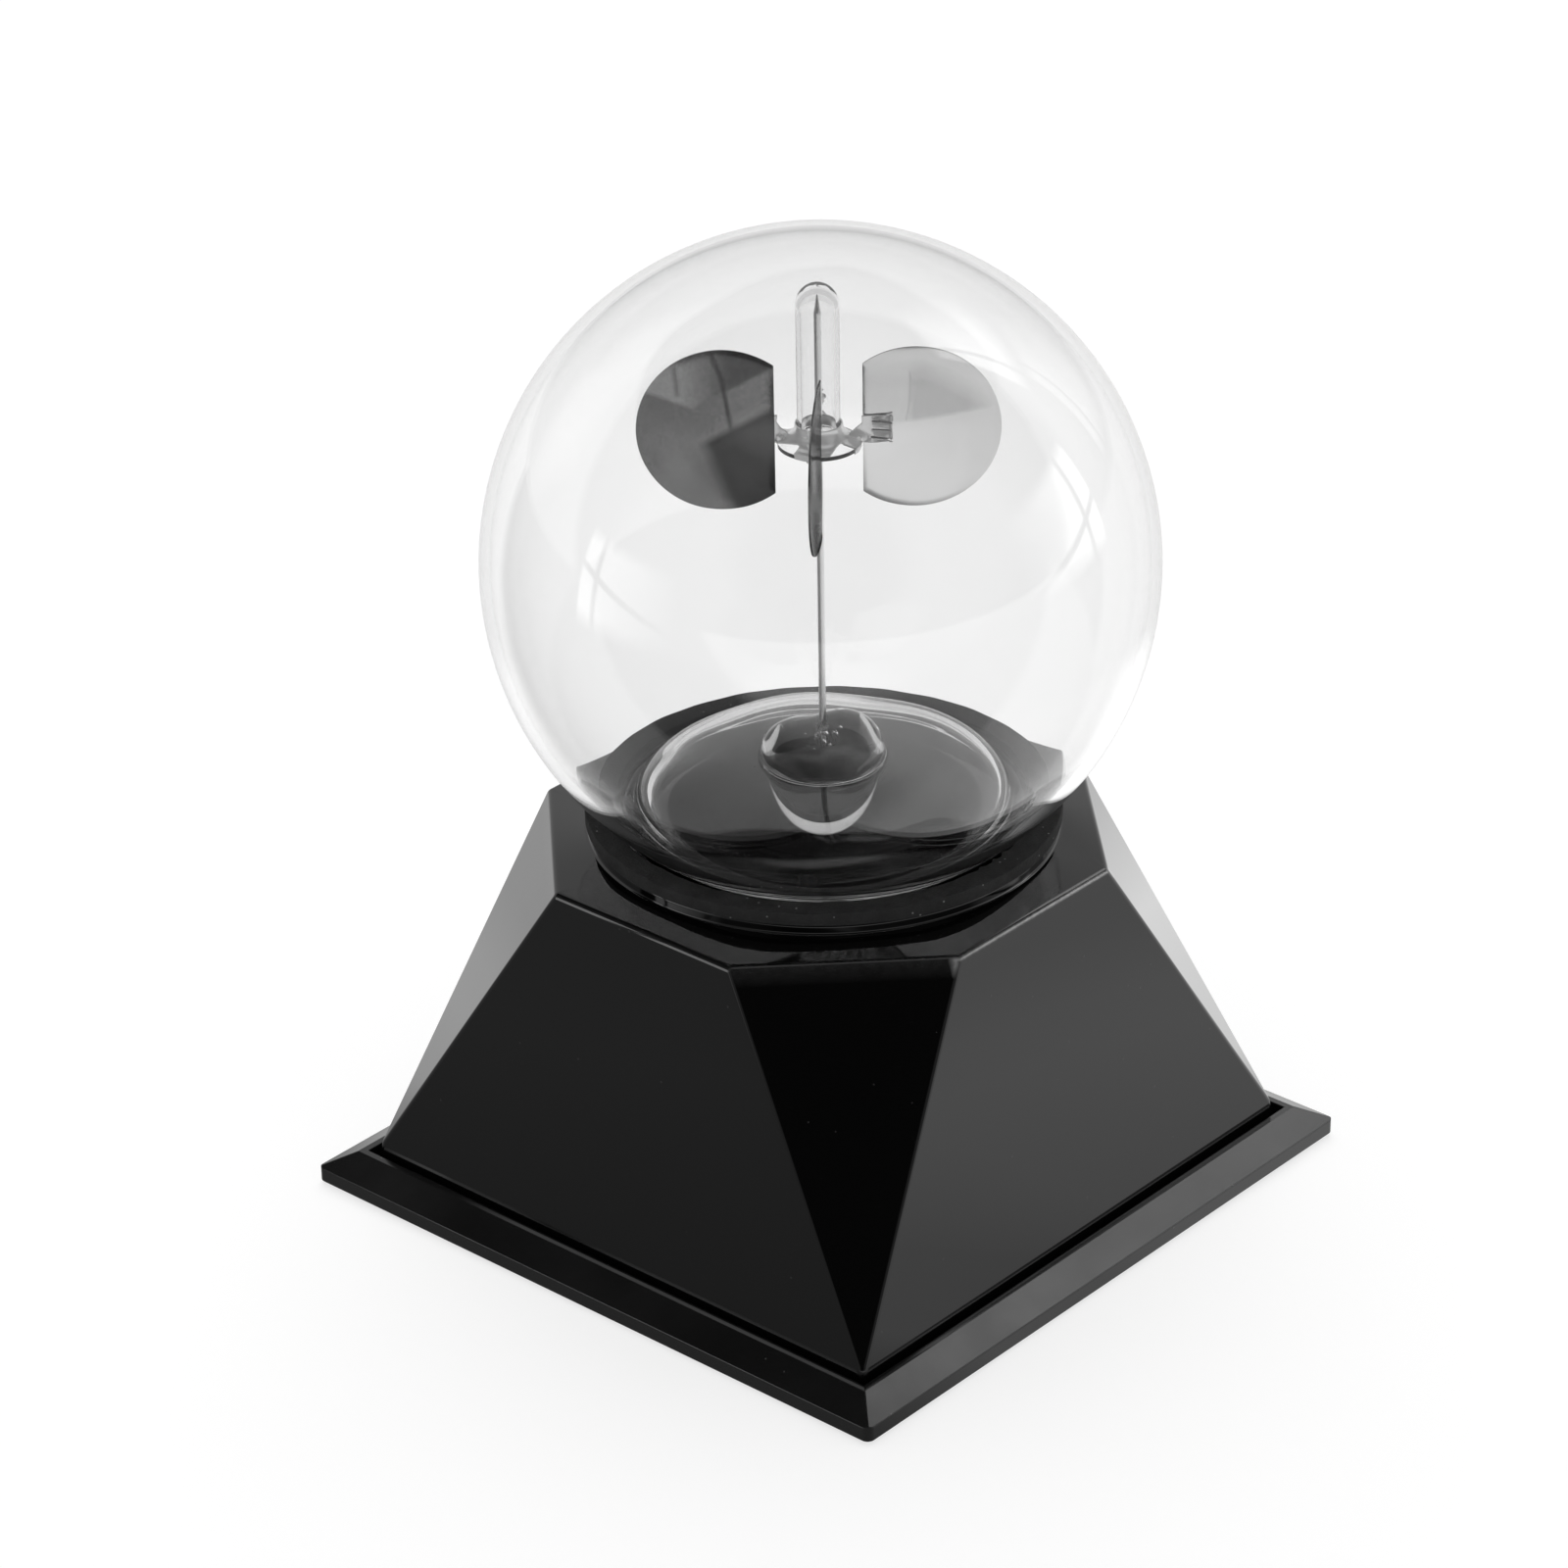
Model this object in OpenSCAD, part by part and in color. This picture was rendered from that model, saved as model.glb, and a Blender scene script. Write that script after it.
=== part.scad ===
// Crookes radiometer: a glass globe with a four-vane light mill on a needle,
// standing on a hollow faceted base with a square base plate.
// Millimetres, +Z up, origin on the standing surface under the needle.
// The square sides of the base run along X and Y.

/* [Base plate] */
// Height of the upright edge of the base plate
plate_edge_h = 1.85; // [1.2:0.05:3]
// Height of the plate's land above its underside
plate_h = 3.8; // [3.4:0.1:6]
// Level run of the bevel between the upright edge and the land
plate_bevel = 3.6; // [2:0.1:8]
// Width of the flat land round the recess
plate_land = 0.9; // [0.5:0.1:3]
// Rounding of the plate's upright corners
plate_corner_r = 1; // [0.4:0.1:1.8]
// Thickness of the recessed floor that the body stands on
plate_floor = 1.4; // [1:0.1:1.8]
// Depth of the hollow under the plate
plate_hollow = 0.6; // [0.3:0.1:1]
// Width of the rim that borders the hollow under the plate
plate_rim = 3; // [2:0.1:5]

/* [Base body] */
// Width of the body where it passes the plate's land
body_w = 78.5; // [74:0.5:90]
// Height of the body's top face above the plate's land
body_h = 42.3; // [34:0.1:60]
// Width across the flats of the eight-sided top face
top_w = 65.1; // [62:0.1:70]
// Wall of the body
body_wall = 2; // [1.4:0.1:3]
// Rounding of the body's outer edges
body_edge_r = 0.8; // [0.4:0.05:1.2]
// Width of the groove between the body and the plate's land
groove_w = 0.8; // [0.4:0.1:1.5]
// Height of the collar above the top face
collar_h = 2.4; // [1.5:0.1:6]
// Radius of the hole through the collar
collar_bore_r = 19; // [14:0.5:20]
// Rounding of the collar's upper edge
collar_edge_r = 0.4; // [0.2:0.05:0.8]
// Thickness of the ribs inside the body
rib_t = 1.4; // [1:0.1:2]
// Depth of the ribs under the top face
rib_depth = 4; // [2:0.5:8]

/* [Fastening] */
// Distance of each screw inside the body's two nearest sides
screw_inset = 12.25; // [10.5:0.25:14]
// Diameter of the screw shank
screw_d = 2.9; // [2.4:0.1:3.2]
// Length of the screw below its head
screw_l = 10; // [7:0.5:11]
// Diameter of the screw head
screw_head_d = 5.4; // [5:0.1:6]
// Height of the screw head
screw_head_h = 1.7; // [1.2:0.1:2.2]
// Depth of the screw heads inside the plate's rim
screw_sink = 0.3; // [0.1:0.1:0.6]
// Outer diameter of the screw posts in the body
post_d = 6.4; // [6:0.1:8]
// Outer diameter of the raised pads on the plate that take the screw heads
pad_d = 9; // [8.8:0.1:11]
// Web of the pads between the screw head and the post
pad_web = 1.4; // [1:0.1:2]
// Clearance of the shank in the pads, on the radius
screw_clear = 0.25; // [0.15:0.05:0.4]

/* [Feet] */
// Diameter of each rubber foot
foot_d = 9; // [6:0.5:10]
// Height that each foot stands out below the plate's rim
foot_proud = 0.5; // [0.3:0.1:2]
// Chamfer of the foot's standing edge
foot_chamfer = 0.3; // [0.1:0.1:0.6]
// Distance between each foot and the rim of the plate's underside
foot_margin = 1; // [0.5:0.1:1.5]

/* [Seat ring] */
// Width of the foam ring, from its hole to its rim
ring_w = 3; // [2.4:0.1:4]
// Thickness of the foam ring
ring_t = 1.65; // [1:0.05:2.4]
// How far the foam ring stands out over the collar
ring_over = 0.35; // [0:0.05:1]
// Clearance between the foam ring and the globe, level
ring_clear = 0.5; // [0.3:0.1:1]

/* [Globe] */
// Outer diameter of the globe
globe_d = 80; // [78:0.5:90]
// Thickness of the glass
glass_t = 1.3; // [0.9:0.1:2]
// Radius of the ring on which the pushed-in bottom stands
heel_r = 22.65; // [21.6:0.05:23]
// Outer rounding of that ring
heel_round = 1.3; // [0.8:0.1:1.8]
// Rise of the pushed-in bottom above the standing ring
punt_rise = 5.1; // [3:0.1:7]
// Length of the sealed pumping stub under the bottom
tip_l = 8; // [7:0.5:10]
// Radius of the stub's root
tip_root_r = 6.6; // [5:0.1:7]
// Radius of the stub's end
tip_end_r = 1.9; // [1.2:0.1:3]

/* [Needle] */
// Radius of the glass bead that holds the needle
bead_r = 7.5; // [6:0.1:9]
// Height of the bead above the inner bottom
bead_h = 6.2; // [5:0.1:8]
// Turn of the bead's higher lobe about the needle, seen from above
bead_turn = 311.7; // [0:0.1:360]
// Diameter of the needle
needle_d = 0.85; // [0.6:0.05:1.2]
// Clearance between the spindle cup's top and the globe above it
head_gap = 3.7; // [2:0.1:12]
// Length of the needle's ground point
needle_point = 2; // [1:0.1:4]
// Depth of the needle's foot above the inner bottom
needle_foot = 1.2; // [0.6:0.1:3]

/* [Rotor] */
// Outer diameter of the glass spindle cup
cup_d = 5; // [4:0.1:6]
// Wall of the spindle cup
cup_wall = 0.5; // [0.3:0.05:0.8]
// Glass above the needle's point in the closed end
cup_end_t = 1.2; // [0.8:0.1:2]
// Height of the cup from its lip to the needle's point
cup_l = 18.6; // [14:0.1:22]
// Diameter of the flared lip
lip_d = 9.6; // [8.6:0.1:11]
// Thickness of the sheet metal of the spider
spider_t = 0.2; // [0.15:0.05:0.3]
// Radius of the concave edges between the arms
spider_cut_r = 4.1; // [3.6:0.1:5]
// Sheet left between the tube and the concave edges
spider_web = 1; // [0.6:0.05:1.3]
// Length of the crimped tabs along the vane
tab_l = 3.4; // [2:0.1:5]
// Height of the crimped tabs
tab_h = 3.4; // [2.6:0.1:5]
// Number of fingers of each crimped tab
tab_fingers = 4; // [2:1:6]
// Height of the folded arm where it meets the vane
arm_h = 1.7; // [1:0.1:2.4]
// Width of the slits between the fingers
tab_slit = 0.25; // [0.15:0.05:0.3]
// Radius of each round vane
vane_r = 10; // [8:0.1:11]
// Distance between the lip and the vane's straight inner edge
vane_gap = 0.3; // [0.2:0.05:1]
// Distance of the straight edge from the centre of the disc
vane_chord = 6; // [4:0.1:7]
// Level of the vane's centre above the cup's lip
vane_lift = 2; // [1.6:0.1:3]
// Thickness of the vane's sheet
vane_t = 0.2; // [0.15:0.05:0.3]
// Width of the ears folded down over the lip
ear_w = 2.2; // [1.4:0.1:2.6]
// Width of the raised rim of the vane
vane_rim_w = 0.6; // [0.4:0.05:1]
// Height of the raised rim of the vane
vane_rim_h = 0.6; // [0.4:0.05:1]
// Turn of the left vane about the axis at rest, seen from above
rest_turn = 131.7; // [0:0.1:360]

/* [Hidden] */
$fn = 128;
globe_fn = 256;
small_fn = 48;
edge_fn = 24;

// Small clearances and the length that cuts run past a surface
tiny = 0.02;
fit = 0.05;
gap = 0.1;
over = 1;
corner_count = 4;
quarter = 90;

// Levels from the ground up
plate_z = foot_proud;
floor_under_z = plate_z + plate_hollow;
floor_z = floor_under_z + plate_floor;
land_z = plate_z + plate_h;
top_z = land_z + body_h;
collar_z = top_z + collar_h;
roof_z = top_z - body_wall;
cavity_low_z = floor_z - over;
ring_z = collar_z + ring_t;

// Slopes of the body: its four sides and its four corner faces
side_run = (body_w - top_w) / 2 / body_h;
corner_run = (body_w * sqrt(2) - top_w) / 2 / body_h;
plate_w = body_w + 2 * (groove_w + plate_land + plate_bevel);
screw_pos = body_w / 2 - screw_inset;
foot_pos = plate_w / 2 - plate_rim - foot_margin - foot_d / 2;
function side_at(z) = body_w / 2 - side_run * (z - land_z);
function corner_at(z) = body_w / sqrt(2) - corner_run * (z - land_z);

// Rounded edges: how far the centres of the rounding balls lie inside the sides
side_inset = body_edge_r * sqrt(1 + side_run * side_run);
corner_inset = body_edge_r * sqrt(1 + corner_run * corner_run);
ball_top_z = top_z - body_edge_r;
ball_low_z = floor_z - body_edge_r;
ball_apex_z = land_z + (sqrt(2) * side_inset - corner_inset) / (corner_run - sqrt(2) * side_run);
function ball_side(z) = side_at(z) - side_inset;
function ball_corner(z) = corner_at(z) - corner_inset;

// Screw stack: head recess, web and post
head_z = plate_z + screw_sink;
web_z = head_z + screw_head_h + gap;
post_z = web_z + pad_web + gap;
shank_top_z = web_z - gap + screw_l;

// Globe: sphere, pushed-in bottom and the rounded ring between them
globe_r = globe_d / 2;
heel_z = collar_z + gap + heel_round;
globe_z = heel_z + sqrt(pow(globe_r - heel_round, 2) - heel_r * heel_r);
punt_z = collar_z + gap + punt_rise;
punt_a = punt_z - heel_z;
punt_r = (heel_r * heel_r + punt_a * punt_a - heel_round * heel_round) / (2 * (punt_a + heel_round));
punt_centre_z = punt_z - punt_r;
inner_heel_round = 0.9;
inner_bottom_z = punt_z + glass_t;
ring_bore_r = sqrt(globe_r * globe_r - pow(globe_z - ring_z, 2)) + ring_clear;
ring_r = ring_bore_r + ring_w;
collar_r = ring_r - ring_over;

// Needle and rotor levels, from the top of the globe down
bearing_gap = 0.06;
cup_top_z = globe_z + globe_r - glass_t - head_gap;
needle_tip_z = cup_top_z - cup_end_t - bearing_gap;
lip_z = needle_tip_z - cup_l;
cup_r = cup_d / 2;
cup_bore_r = cup_r - cup_wall;
cup_dome_z = needle_tip_z + bearing_gap - cup_bore_r;
flare_h = lip_d / 2 - cup_r;
flare_z = lip_z + cup_wall + flare_h;
ear_turn = quarter / 4;
spider_z = lip_z + cup_wall + gap;
vane_z = lip_z + vane_lift;
vane_inner = lip_d / 2 + vane_gap;
pan_depth = vane_rim_h + vane_t;
black_tone = "#3a3a3c";
bright_tone = "#c9cbce";
tab_x = vane_inner - 2 * gap;
tab_y = -vane_t / 2 - gap / 2 - spider_t;
ear_r = lip_d / 2 + gap;
finger_h = (tab_h - (tab_fingers - 1) * tab_slit) / tab_fingers;

// Inner corners of the folded arm, as shares of the flare's height
arm_low_run = 0.55;
arm_high_run = 0.45;
arm_high_rise = 0.4;

// Forms of the bead, as shares of its radius
lobe_share = 0.6;
skirt_share = 0.28;
low_lobe_shift = 0.36;
high_lobe_shift = 0.32;
// Height of the bead's lower lobe, as a share of the higher one
low_lobe_height = 0.88;
// Level of the skirt's middle, as a share of the skirt's radius
skirt_lift = 0.8;

// Cross slot of the screws, as shares of the head's diameter and height
slot_width_share = 1 / 6;
slot_length_share = 0.55;
slot_depth_share = 0.6;

// Repeats its children at the four corners of a square
module at_corners(distance) {
    for (i = [0 : corner_count - 1])
        rotate([0, 0, i * quarter])
            translate([distance, distance, 0])
                children();
}

// Square with rounded corners, made of two bars and four discs
module rounded_square(width, r) {
    square([width, width - 2 * r], center = true);
    square([width - 2 * r, width], center = true);
    for (x = [-1, 1], y = [-1, 1])
        translate([x * (width / 2 - r), y * (width / 2 - r)])
            circle(r);
}

// Bevelled square block: an upright edge with a sloped shoulder above it
module plate_outer() {
    half = plate_w / 2;
    top_half = half - plate_bevel;
    intersection() {
        translate([0, 0, plate_z])
            linear_extrude(height = plate_h)
                rounded_square(plate_w, plate_corner_r);
        plate_profile_bar(half, top_half);
        rotate([0, 0, quarter])
            plate_profile_bar(half, top_half);
    }
}

module plate_profile_bar(half, top_half) {
    rotate([90, 0, 0])
        linear_extrude(height = plate_w + 2 * over, center = true)
            polygon([
                [-half, plate_z],
                [half, plate_z],
                [half, plate_z + plate_edge_h],
                [top_half, land_z],
                [-top_half, land_z],
                [-half, plate_z + plate_edge_h]
            ]);
}

// Square tray with a recess for the body, pads for the screws and a hollow underside
module base_plate() {
    recess = side_at(land_z) + groove_w;
    color("#101012")
        difference() {
            union() {
                difference() {
                    plate_outer();
                    translate([-recess, -recess, floor_z])
                        cube([2 * recess, 2 * recess, plate_h]);
                }
                at_corners(screw_pos)
                    translate([0, 0, floor_under_z])
                        cylinder(h = web_z + pad_web - floor_under_z, r = pad_d / 2);
            }
            translate([0, 0, plate_z - over])
                linear_extrude(height = plate_hollow + over)
                    rounded_square(plate_w - 2 * plate_rim, plate_corner_r);
            at_corners(screw_pos) {
                translate([0, 0, plate_z - over])
                    cylinder(h = web_z - plate_z + over, r = screw_head_d / 2 + screw_clear);
                translate([0, 0, plate_z])
                    cylinder(h = plate_h + post_z, r = screw_d / 2 + screw_clear);
            }
        }
}

// Round rubber foot with a chamfered standing edge
module foot(turn) {
    foot_r = foot_d / 2;
    color("#1b1b1c")
        rotate([0, 0, turn])
            translate([foot_pos, foot_pos, 0])
                rotate_extrude()
                    polygon([
                        [0, 0],
                        [foot_r - foot_chamfer, 0],
                        [foot_r, foot_chamfer],
                        [foot_r, floor_under_z],
                        [0, floor_under_z]
                    ]);
}

// Outer form of the body: four tall sides that turn into eight through
// triangular corner faces, with every edge rounded by the same ball
module body_outer() {
    low = ball_side(ball_low_z);
    apex = ball_side(ball_apex_z);
    top = ball_side(ball_top_z);
    top_short = sqrt(2) * ball_corner(ball_top_z) - top;
    intersection() {
        hull()
            for (i = [0 : corner_count - 1])
                rotate([0, 0, i * quarter]) {
                    translate([low, low, ball_low_z])
                        sphere(body_edge_r, $fn = edge_fn);
                    translate([apex, apex, ball_apex_z])
                        sphere(body_edge_r, $fn = edge_fn);
                    translate([top, top_short, ball_top_z])
                        sphere(body_edge_r, $fn = edge_fn);
                    translate([top_short, top, ball_top_z])
                        sphere(body_edge_r, $fn = edge_fn);
                }
        translate([-body_w, -body_w, floor_z])
            cube([2 * body_w, 2 * body_w, body_h + plate_h]);
    }
}

// Space inside the body, with walls of even thickness
module body_cavity() {
    side_wall = body_wall * sqrt(1 + side_run * side_run);
    corner_wall = body_wall * sqrt(1 + corner_run * corner_run);
    intersection() {
        cavity_bar(side_at(cavity_low_z) - side_wall, side_at(roof_z) - side_wall);
        rotate([0, 0, quarter])
            cavity_bar(side_at(cavity_low_z) - side_wall, side_at(roof_z) - side_wall);
        rotate([0, 0, quarter / 2])
            cavity_bar(corner_at(cavity_low_z) - corner_wall, corner_at(roof_z) - corner_wall);
        rotate([0, 0, -quarter / 2])
            cavity_bar(corner_at(cavity_low_z) - corner_wall, corner_at(roof_z) - corner_wall);
    }
}

// Bar along Y with the tapering section of the space inside the body
module cavity_bar(low_half, high_half) {
    rotate([90, 0, 0])
        linear_extrude(height = 2 * body_w, center = true)
            polygon([
                [-low_half, cavity_low_z],
                [low_half, cavity_low_z],
                [high_half, roof_z],
                [-high_half, roof_z]
            ]);
}

// Screw posts, the ribs that brace them and the ribs under the top face
module body_inner_works() {
    at_corners(screw_pos) {
        translate([0, 0, post_z])
            cylinder(h = body_h, r = post_d / 2);
        for (turn = [0, quarter])
            rotate([0, 0, turn])
                translate([0, -rib_t / 2, post_z + 2 * rib_t])
                    cube([body_w, rib_t, body_h]);
    }
    for (i = [0 : corner_count - 1])
        rotate([0, 0, i * quarter])
            translate([collar_bore_r + rib_t, -rib_t / 2, roof_z - rib_depth])
                cube([body_w, rib_t, rib_depth + body_wall]);
}

// Glossy hollow moulding with a raised collar round the hole in its top
module base_body() {
    color("#0b0b0d")
        difference() {
            union() {
                difference() {
                    body_outer();
                    difference() {
                        body_cavity();
                        body_inner_works();
                    }
                }
                collar();
            }
            translate([0, 0, roof_z - over])
                cylinder(h = body_wall + collar_h + 2 * over, r = collar_bore_r);
            collar_hollow();
            at_corners(screw_pos)
                translate([0, 0, post_z - over])
                    cylinder(h = shank_top_z + screw_d / 2 - post_z + over, r = screw_d / 2 + fit);
        }
}

// Turned collar with a rounded upper edge
module collar() {
    rotate_extrude()
        difference() {
            translate([collar_bore_r - over, top_z - body_wall / 2])
                square([collar_r - collar_bore_r + over, collar_h + body_wall / 2]);
            difference() {
                translate([collar_r - collar_edge_r, collar_z - collar_edge_r])
                    square(collar_edge_r + over);
                translate([collar_r - collar_edge_r, collar_z - collar_edge_r])
                    circle(collar_edge_r);
            }
        }
}

// Ring-shaped hollow under the collar, which keeps its wall even
module collar_hollow() {
    rotate_extrude()
        translate([collar_bore_r + body_wall, roof_z - over])
            square([collar_r - collar_bore_r - 2 * body_wall, collar_h + over]);
}

// Four pan-head screws with a cross slot, driven up from below
module base_screws() {
    slot_w = screw_head_d * slot_width_share;
    slot_l = screw_head_d * slot_length_share;
    slot_depth = screw_head_h * slot_depth_share;
    color("#8f9296")
        at_corners(screw_pos)
            difference() {
                union() {
                    translate([0, 0, head_z])
                        cylinder(h = screw_head_h, r = screw_head_d / 2);
                    translate([0, 0, head_z + screw_head_h])
                        cylinder(h = shank_top_z - head_z - screw_head_h - screw_d / 2, r = screw_d / 2);
                    translate([0, 0, shank_top_z - screw_d / 2])
                        cylinder(h = screw_d / 2, r1 = screw_d / 2, r2 = screw_d / 6);
                }
                for (turn = [0, quarter])
                    rotate([0, 0, turn])
                        translate([-slot_l / 2, -slot_w / 2, head_z - over])
                            cube([slot_l, slot_w, slot_depth + over]);
            }
}

// Foam ring on the collar, open round the foot of the globe
module seat_ring() {
    color("#2b2b2d")
        rotate_extrude()
            translate([ring_bore_r, collar_z])
                square([ring_r - ring_bore_r, ring_t]);
}

// Distance along the axis and from it of a circle that touches the sphere from
// inside and the pushed-in bottom from outside
function heel_height(sphere_r, dome_r, round_r) =
    (pow(globe_z - punt_centre_z, 2) + pow(dome_r + round_r, 2) - pow(sphere_r - round_r, 2))
    / (2 * (globe_z - punt_centre_z));
function heel_radius(sphere_r, dome_r, round_r) =
    sqrt(pow(dome_r + round_r, 2) - pow(heel_height(sphere_r, dome_r, round_r), 2));

// Half section of a ball whose bottom is pushed in, rounded where both meet
module punted_half(sphere_r, dome_r, round_r) {
    cx = heel_radius(sphere_r, dome_r, round_r);
    cz = punt_centre_z + heel_height(sphere_r, dome_r, round_r);
    sphere_k = round_r / (sphere_r - round_r);
    dome_k = round_r / (dome_r + round_r);
    on_sphere = [cx + cx * sphere_k, cz + (cz - globe_z) * sphere_k];
    on_dome = [cx - cx * dome_k, cz - (cz - punt_centre_z) * dome_k];
    reach = 2 * round_r;
    difference() {
        translate([0, globe_z])
            circle(sphere_r, $fn = globe_fn);
        translate([0, punt_centre_z])
            circle(dome_r, $fn = globe_fn);
        polygon([
            [cx, cz],
            on_sphere,
            on_sphere + [reach, 0],
            [cx + reach, cz - 2 * reach],
            [cx - 2 * reach, cz - 2 * reach],
            on_dome + [-reach, -reach],
            on_dome
        ]);
        translate([-2 * sphere_r, globe_z - 2 * sphere_r])
            square([2 * sphere_r, 4 * sphere_r]);
    }
    translate([cx, cz])
        circle(round_r);
}

// Glass globe with a pushed-in bottom, of even wall
module globe() {
    color("#dfe8ea", 0.35)
        rotate_extrude($fn = globe_fn)
            difference() {
                punted_half(globe_r, punt_r, heel_round);
                punted_half(globe_r - glass_t, punt_r + glass_t, inner_heel_round);
            }
}

// Sealed end of the pumping tube, drawn out to a point under the globe
module exhaust_tip() {
    tip_z = punt_z - tip_l;
    cut_r = tip_l - tip_end_r;
    color("#d3dcde", 0.5)
        rotate_extrude()
            difference() {
                union() {
                    translate([0, tip_z + tip_end_r])
                        square([tip_root_r, tip_l]);
                    translate([0, tip_z + tip_end_r])
                        circle(tip_end_r);
                }
                translate([tip_end_r + cut_r, tip_z + tip_end_r])
                    circle(cut_r);
                translate([-tip_l, tip_z - over])
                    square([tip_l, 3 * tip_l]);
                translate([tip_root_r, tip_z - over])
                    square([2 * cut_r, 3 * tip_l]);
                translate([0, punt_centre_z + tiny])
                    difference() {
                        circle(punt_r + 3 * tip_l, $fn = globe_fn);
                        circle(punt_r - gap / 2, $fn = globe_fn);
                    }
            }
}

// Lumpy glass bead in two lobes, melted round the foot of the needle
module needle_bead() {
    lobe_r = bead_r * lobe_share;
    skirt_r = bead_r * skirt_share;
    low_lobe_z = inner_bottom_z + bead_h * low_lobe_height - lobe_r;
    high_lobe_z = inner_bottom_z + bead_h - lobe_r;
    color("#cfd8da", 0.5)
        difference() {
            union() {
                translate([0, 0, inner_bottom_z + skirt_r * skirt_lift]) {
                    rotate_extrude()
                        translate([bead_r - skirt_r, 0])
                            circle(skirt_r, $fn = small_fn);
                    translate([0, 0, -2 * skirt_r])
                        cylinder(h = 3 * skirt_r, r = bead_r - skirt_r);
                }
                rotate([0, 0, bead_turn]) {
                    translate([-bead_r * low_lobe_shift, 0, low_lobe_z])
                        sphere(lobe_r);
                    translate([bead_r * high_lobe_shift, 0, high_lobe_z])
                        sphere(lobe_r);
                }
            }
            translate([0, 0, punt_centre_z])
                sphere(punt_r + glass_t + fit, $fn = globe_fn);
            translate([0, 0, inner_bottom_z + needle_foot - gap])
                cylinder(h = 2 * bead_h, r = needle_d / 2 + tiny, $fn = small_fn);
        }
}

// Steel needle with a ground point
module pivot_needle() {
    foot_z = inner_bottom_z + needle_foot;
    point_r = needle_d / 12;
    color("#77797c")
        rotate_extrude($fn = small_fn)
            polygon([
                [0, foot_z],
                [needle_d / 2, foot_z],
                [needle_d / 2, needle_tip_z - needle_point],
                [point_r, needle_tip_z - point_r],
                [0, needle_tip_z]
            ]);
}

// Band between two quarter circles that sweep from the tube out to the lip
module flare_band(near_r, far_r) {
    translate([lip_d / 2, flare_z])
        intersection() {
            difference() {
                circle(far_r);
                circle(near_r);
            }
            translate([-far_r, -far_r])
                square(far_r);
        }
}

// Glass tube, closed and domed at the top and flared to a lip at the bottom
module spindle_cup() {
    color("#dde6e8", 0.4)
        rotate_extrude()
            union() {
                difference() {
                    union() {
                        translate([0, flare_z])
                            square([cup_r, cup_top_z - cup_r - flare_z]);
                        translate([0, cup_top_z - cup_r])
                            circle(cup_r);
                    }
                    translate([-cup_d, flare_z - over])
                        square([cup_d, 2 * cup_l]);
                    translate([0, flare_z - over])
                        square([cup_bore_r, cup_dome_z - flare_z + over]);
                    translate([0, cup_dome_z])
                        circle(cup_bore_r);
                }
                flare_band(flare_h, flare_h + cup_wall);
            }
}

// Outline of the spider from above: four arms with concave edges between
// them, and beside each arm an ear that reaches over the lip
module star_outline(ear_reach) {
    cut_centre = (cup_r + spider_web + spider_cut_r) / sqrt(2);
    difference() {
        square(2 * tab_x + gap, center = true);
        for (i = [0 : corner_count - 1])
            rotate(i * quarter)
                translate([cut_centre, cut_centre])
                    circle(spider_cut_r);
    }
    for (i = [0 : corner_count - 1])
        rotate(i * quarter - ear_turn)
            translate([cup_r, -ear_w / 2])
                square([ear_reach - cup_r, ear_w]);
}

// Sheet draped over the flare: it follows the glass down and runs level past the lip
module draped_sheet() {
    rotate_extrude() {
        flare_band(flare_h - gap - spider_t, flare_h - gap);
        translate([lip_d / 2 - tiny, spider_z])
            square([lip_d / 2, spider_t]);
    }
}

// Edge of each ear, bent down round the rim of the lip
module ear_fold() {
    linear_extrude(height = cup_wall + gap + spider_t)
        intersection() {
            difference() {
                circle(ear_r + spider_t);
                circle(ear_r);
            }
            for (i = [0 : corner_count - 1])
                rotate(i * quarter - ear_turn)
                    translate([cup_r, -ear_w / 2])
                        square([lip_d, ear_w]);
        }
}

// Arm folded upright along the vane, and the crimped tab of fingers at its end
module folded_arm() {
    low_z = vane_z - tab_h / 2;
    translate([0, tab_y + spider_t, 0])
        rotate([90, 0, 0])
            linear_extrude(height = spider_t)
                polygon([
                    [cup_r + flare_h * arm_low_run, spider_z + spider_t / 2],
                    [tab_x + tiny, vane_z - arm_h / 2],
                    [tab_x + tiny, vane_z + arm_h / 2],
                    [cup_r + flare_h * arm_high_run, spider_z + flare_h * arm_high_rise]
                ]);
    translate([tab_x, tab_y, low_z])
        difference() {
            cube([tab_l, spider_t, tab_h]);
            for (i = [1 : tab_fingers - 1])
                translate([tab_l / 3, -over, i * (finger_h + tab_slit) - tab_slit])
                    cube([tab_l, spider_t + 2 * over, tab_slit]);
        }
    for (i = [0 : tab_fingers - 1])
        translate([tab_x + tab_l, tab_y, low_z + i * (finger_h + tab_slit)])
            cylinder(h = finger_h, r = spider_t, $fn = edge_fn);
}

// Sheet-metal spider: a star draped over the flared lip, with four crimped arms
module vane_spider() {
    color("#b9bcc0")
        rotate([0, 0, rest_turn]) {
            intersection() {
                draped_sheet();
                translate([0, 0, spider_z - over])
                    linear_extrude(height = flare_h + 2 * over)
                        star_outline(ear_r + spider_t);
            }
            translate([0, 0, lip_z])
                ear_fold();
            for (i = [0 : corner_count - 1])
                rotate([0, 0, i * quarter])
                    folded_arm();
        }
}

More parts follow.
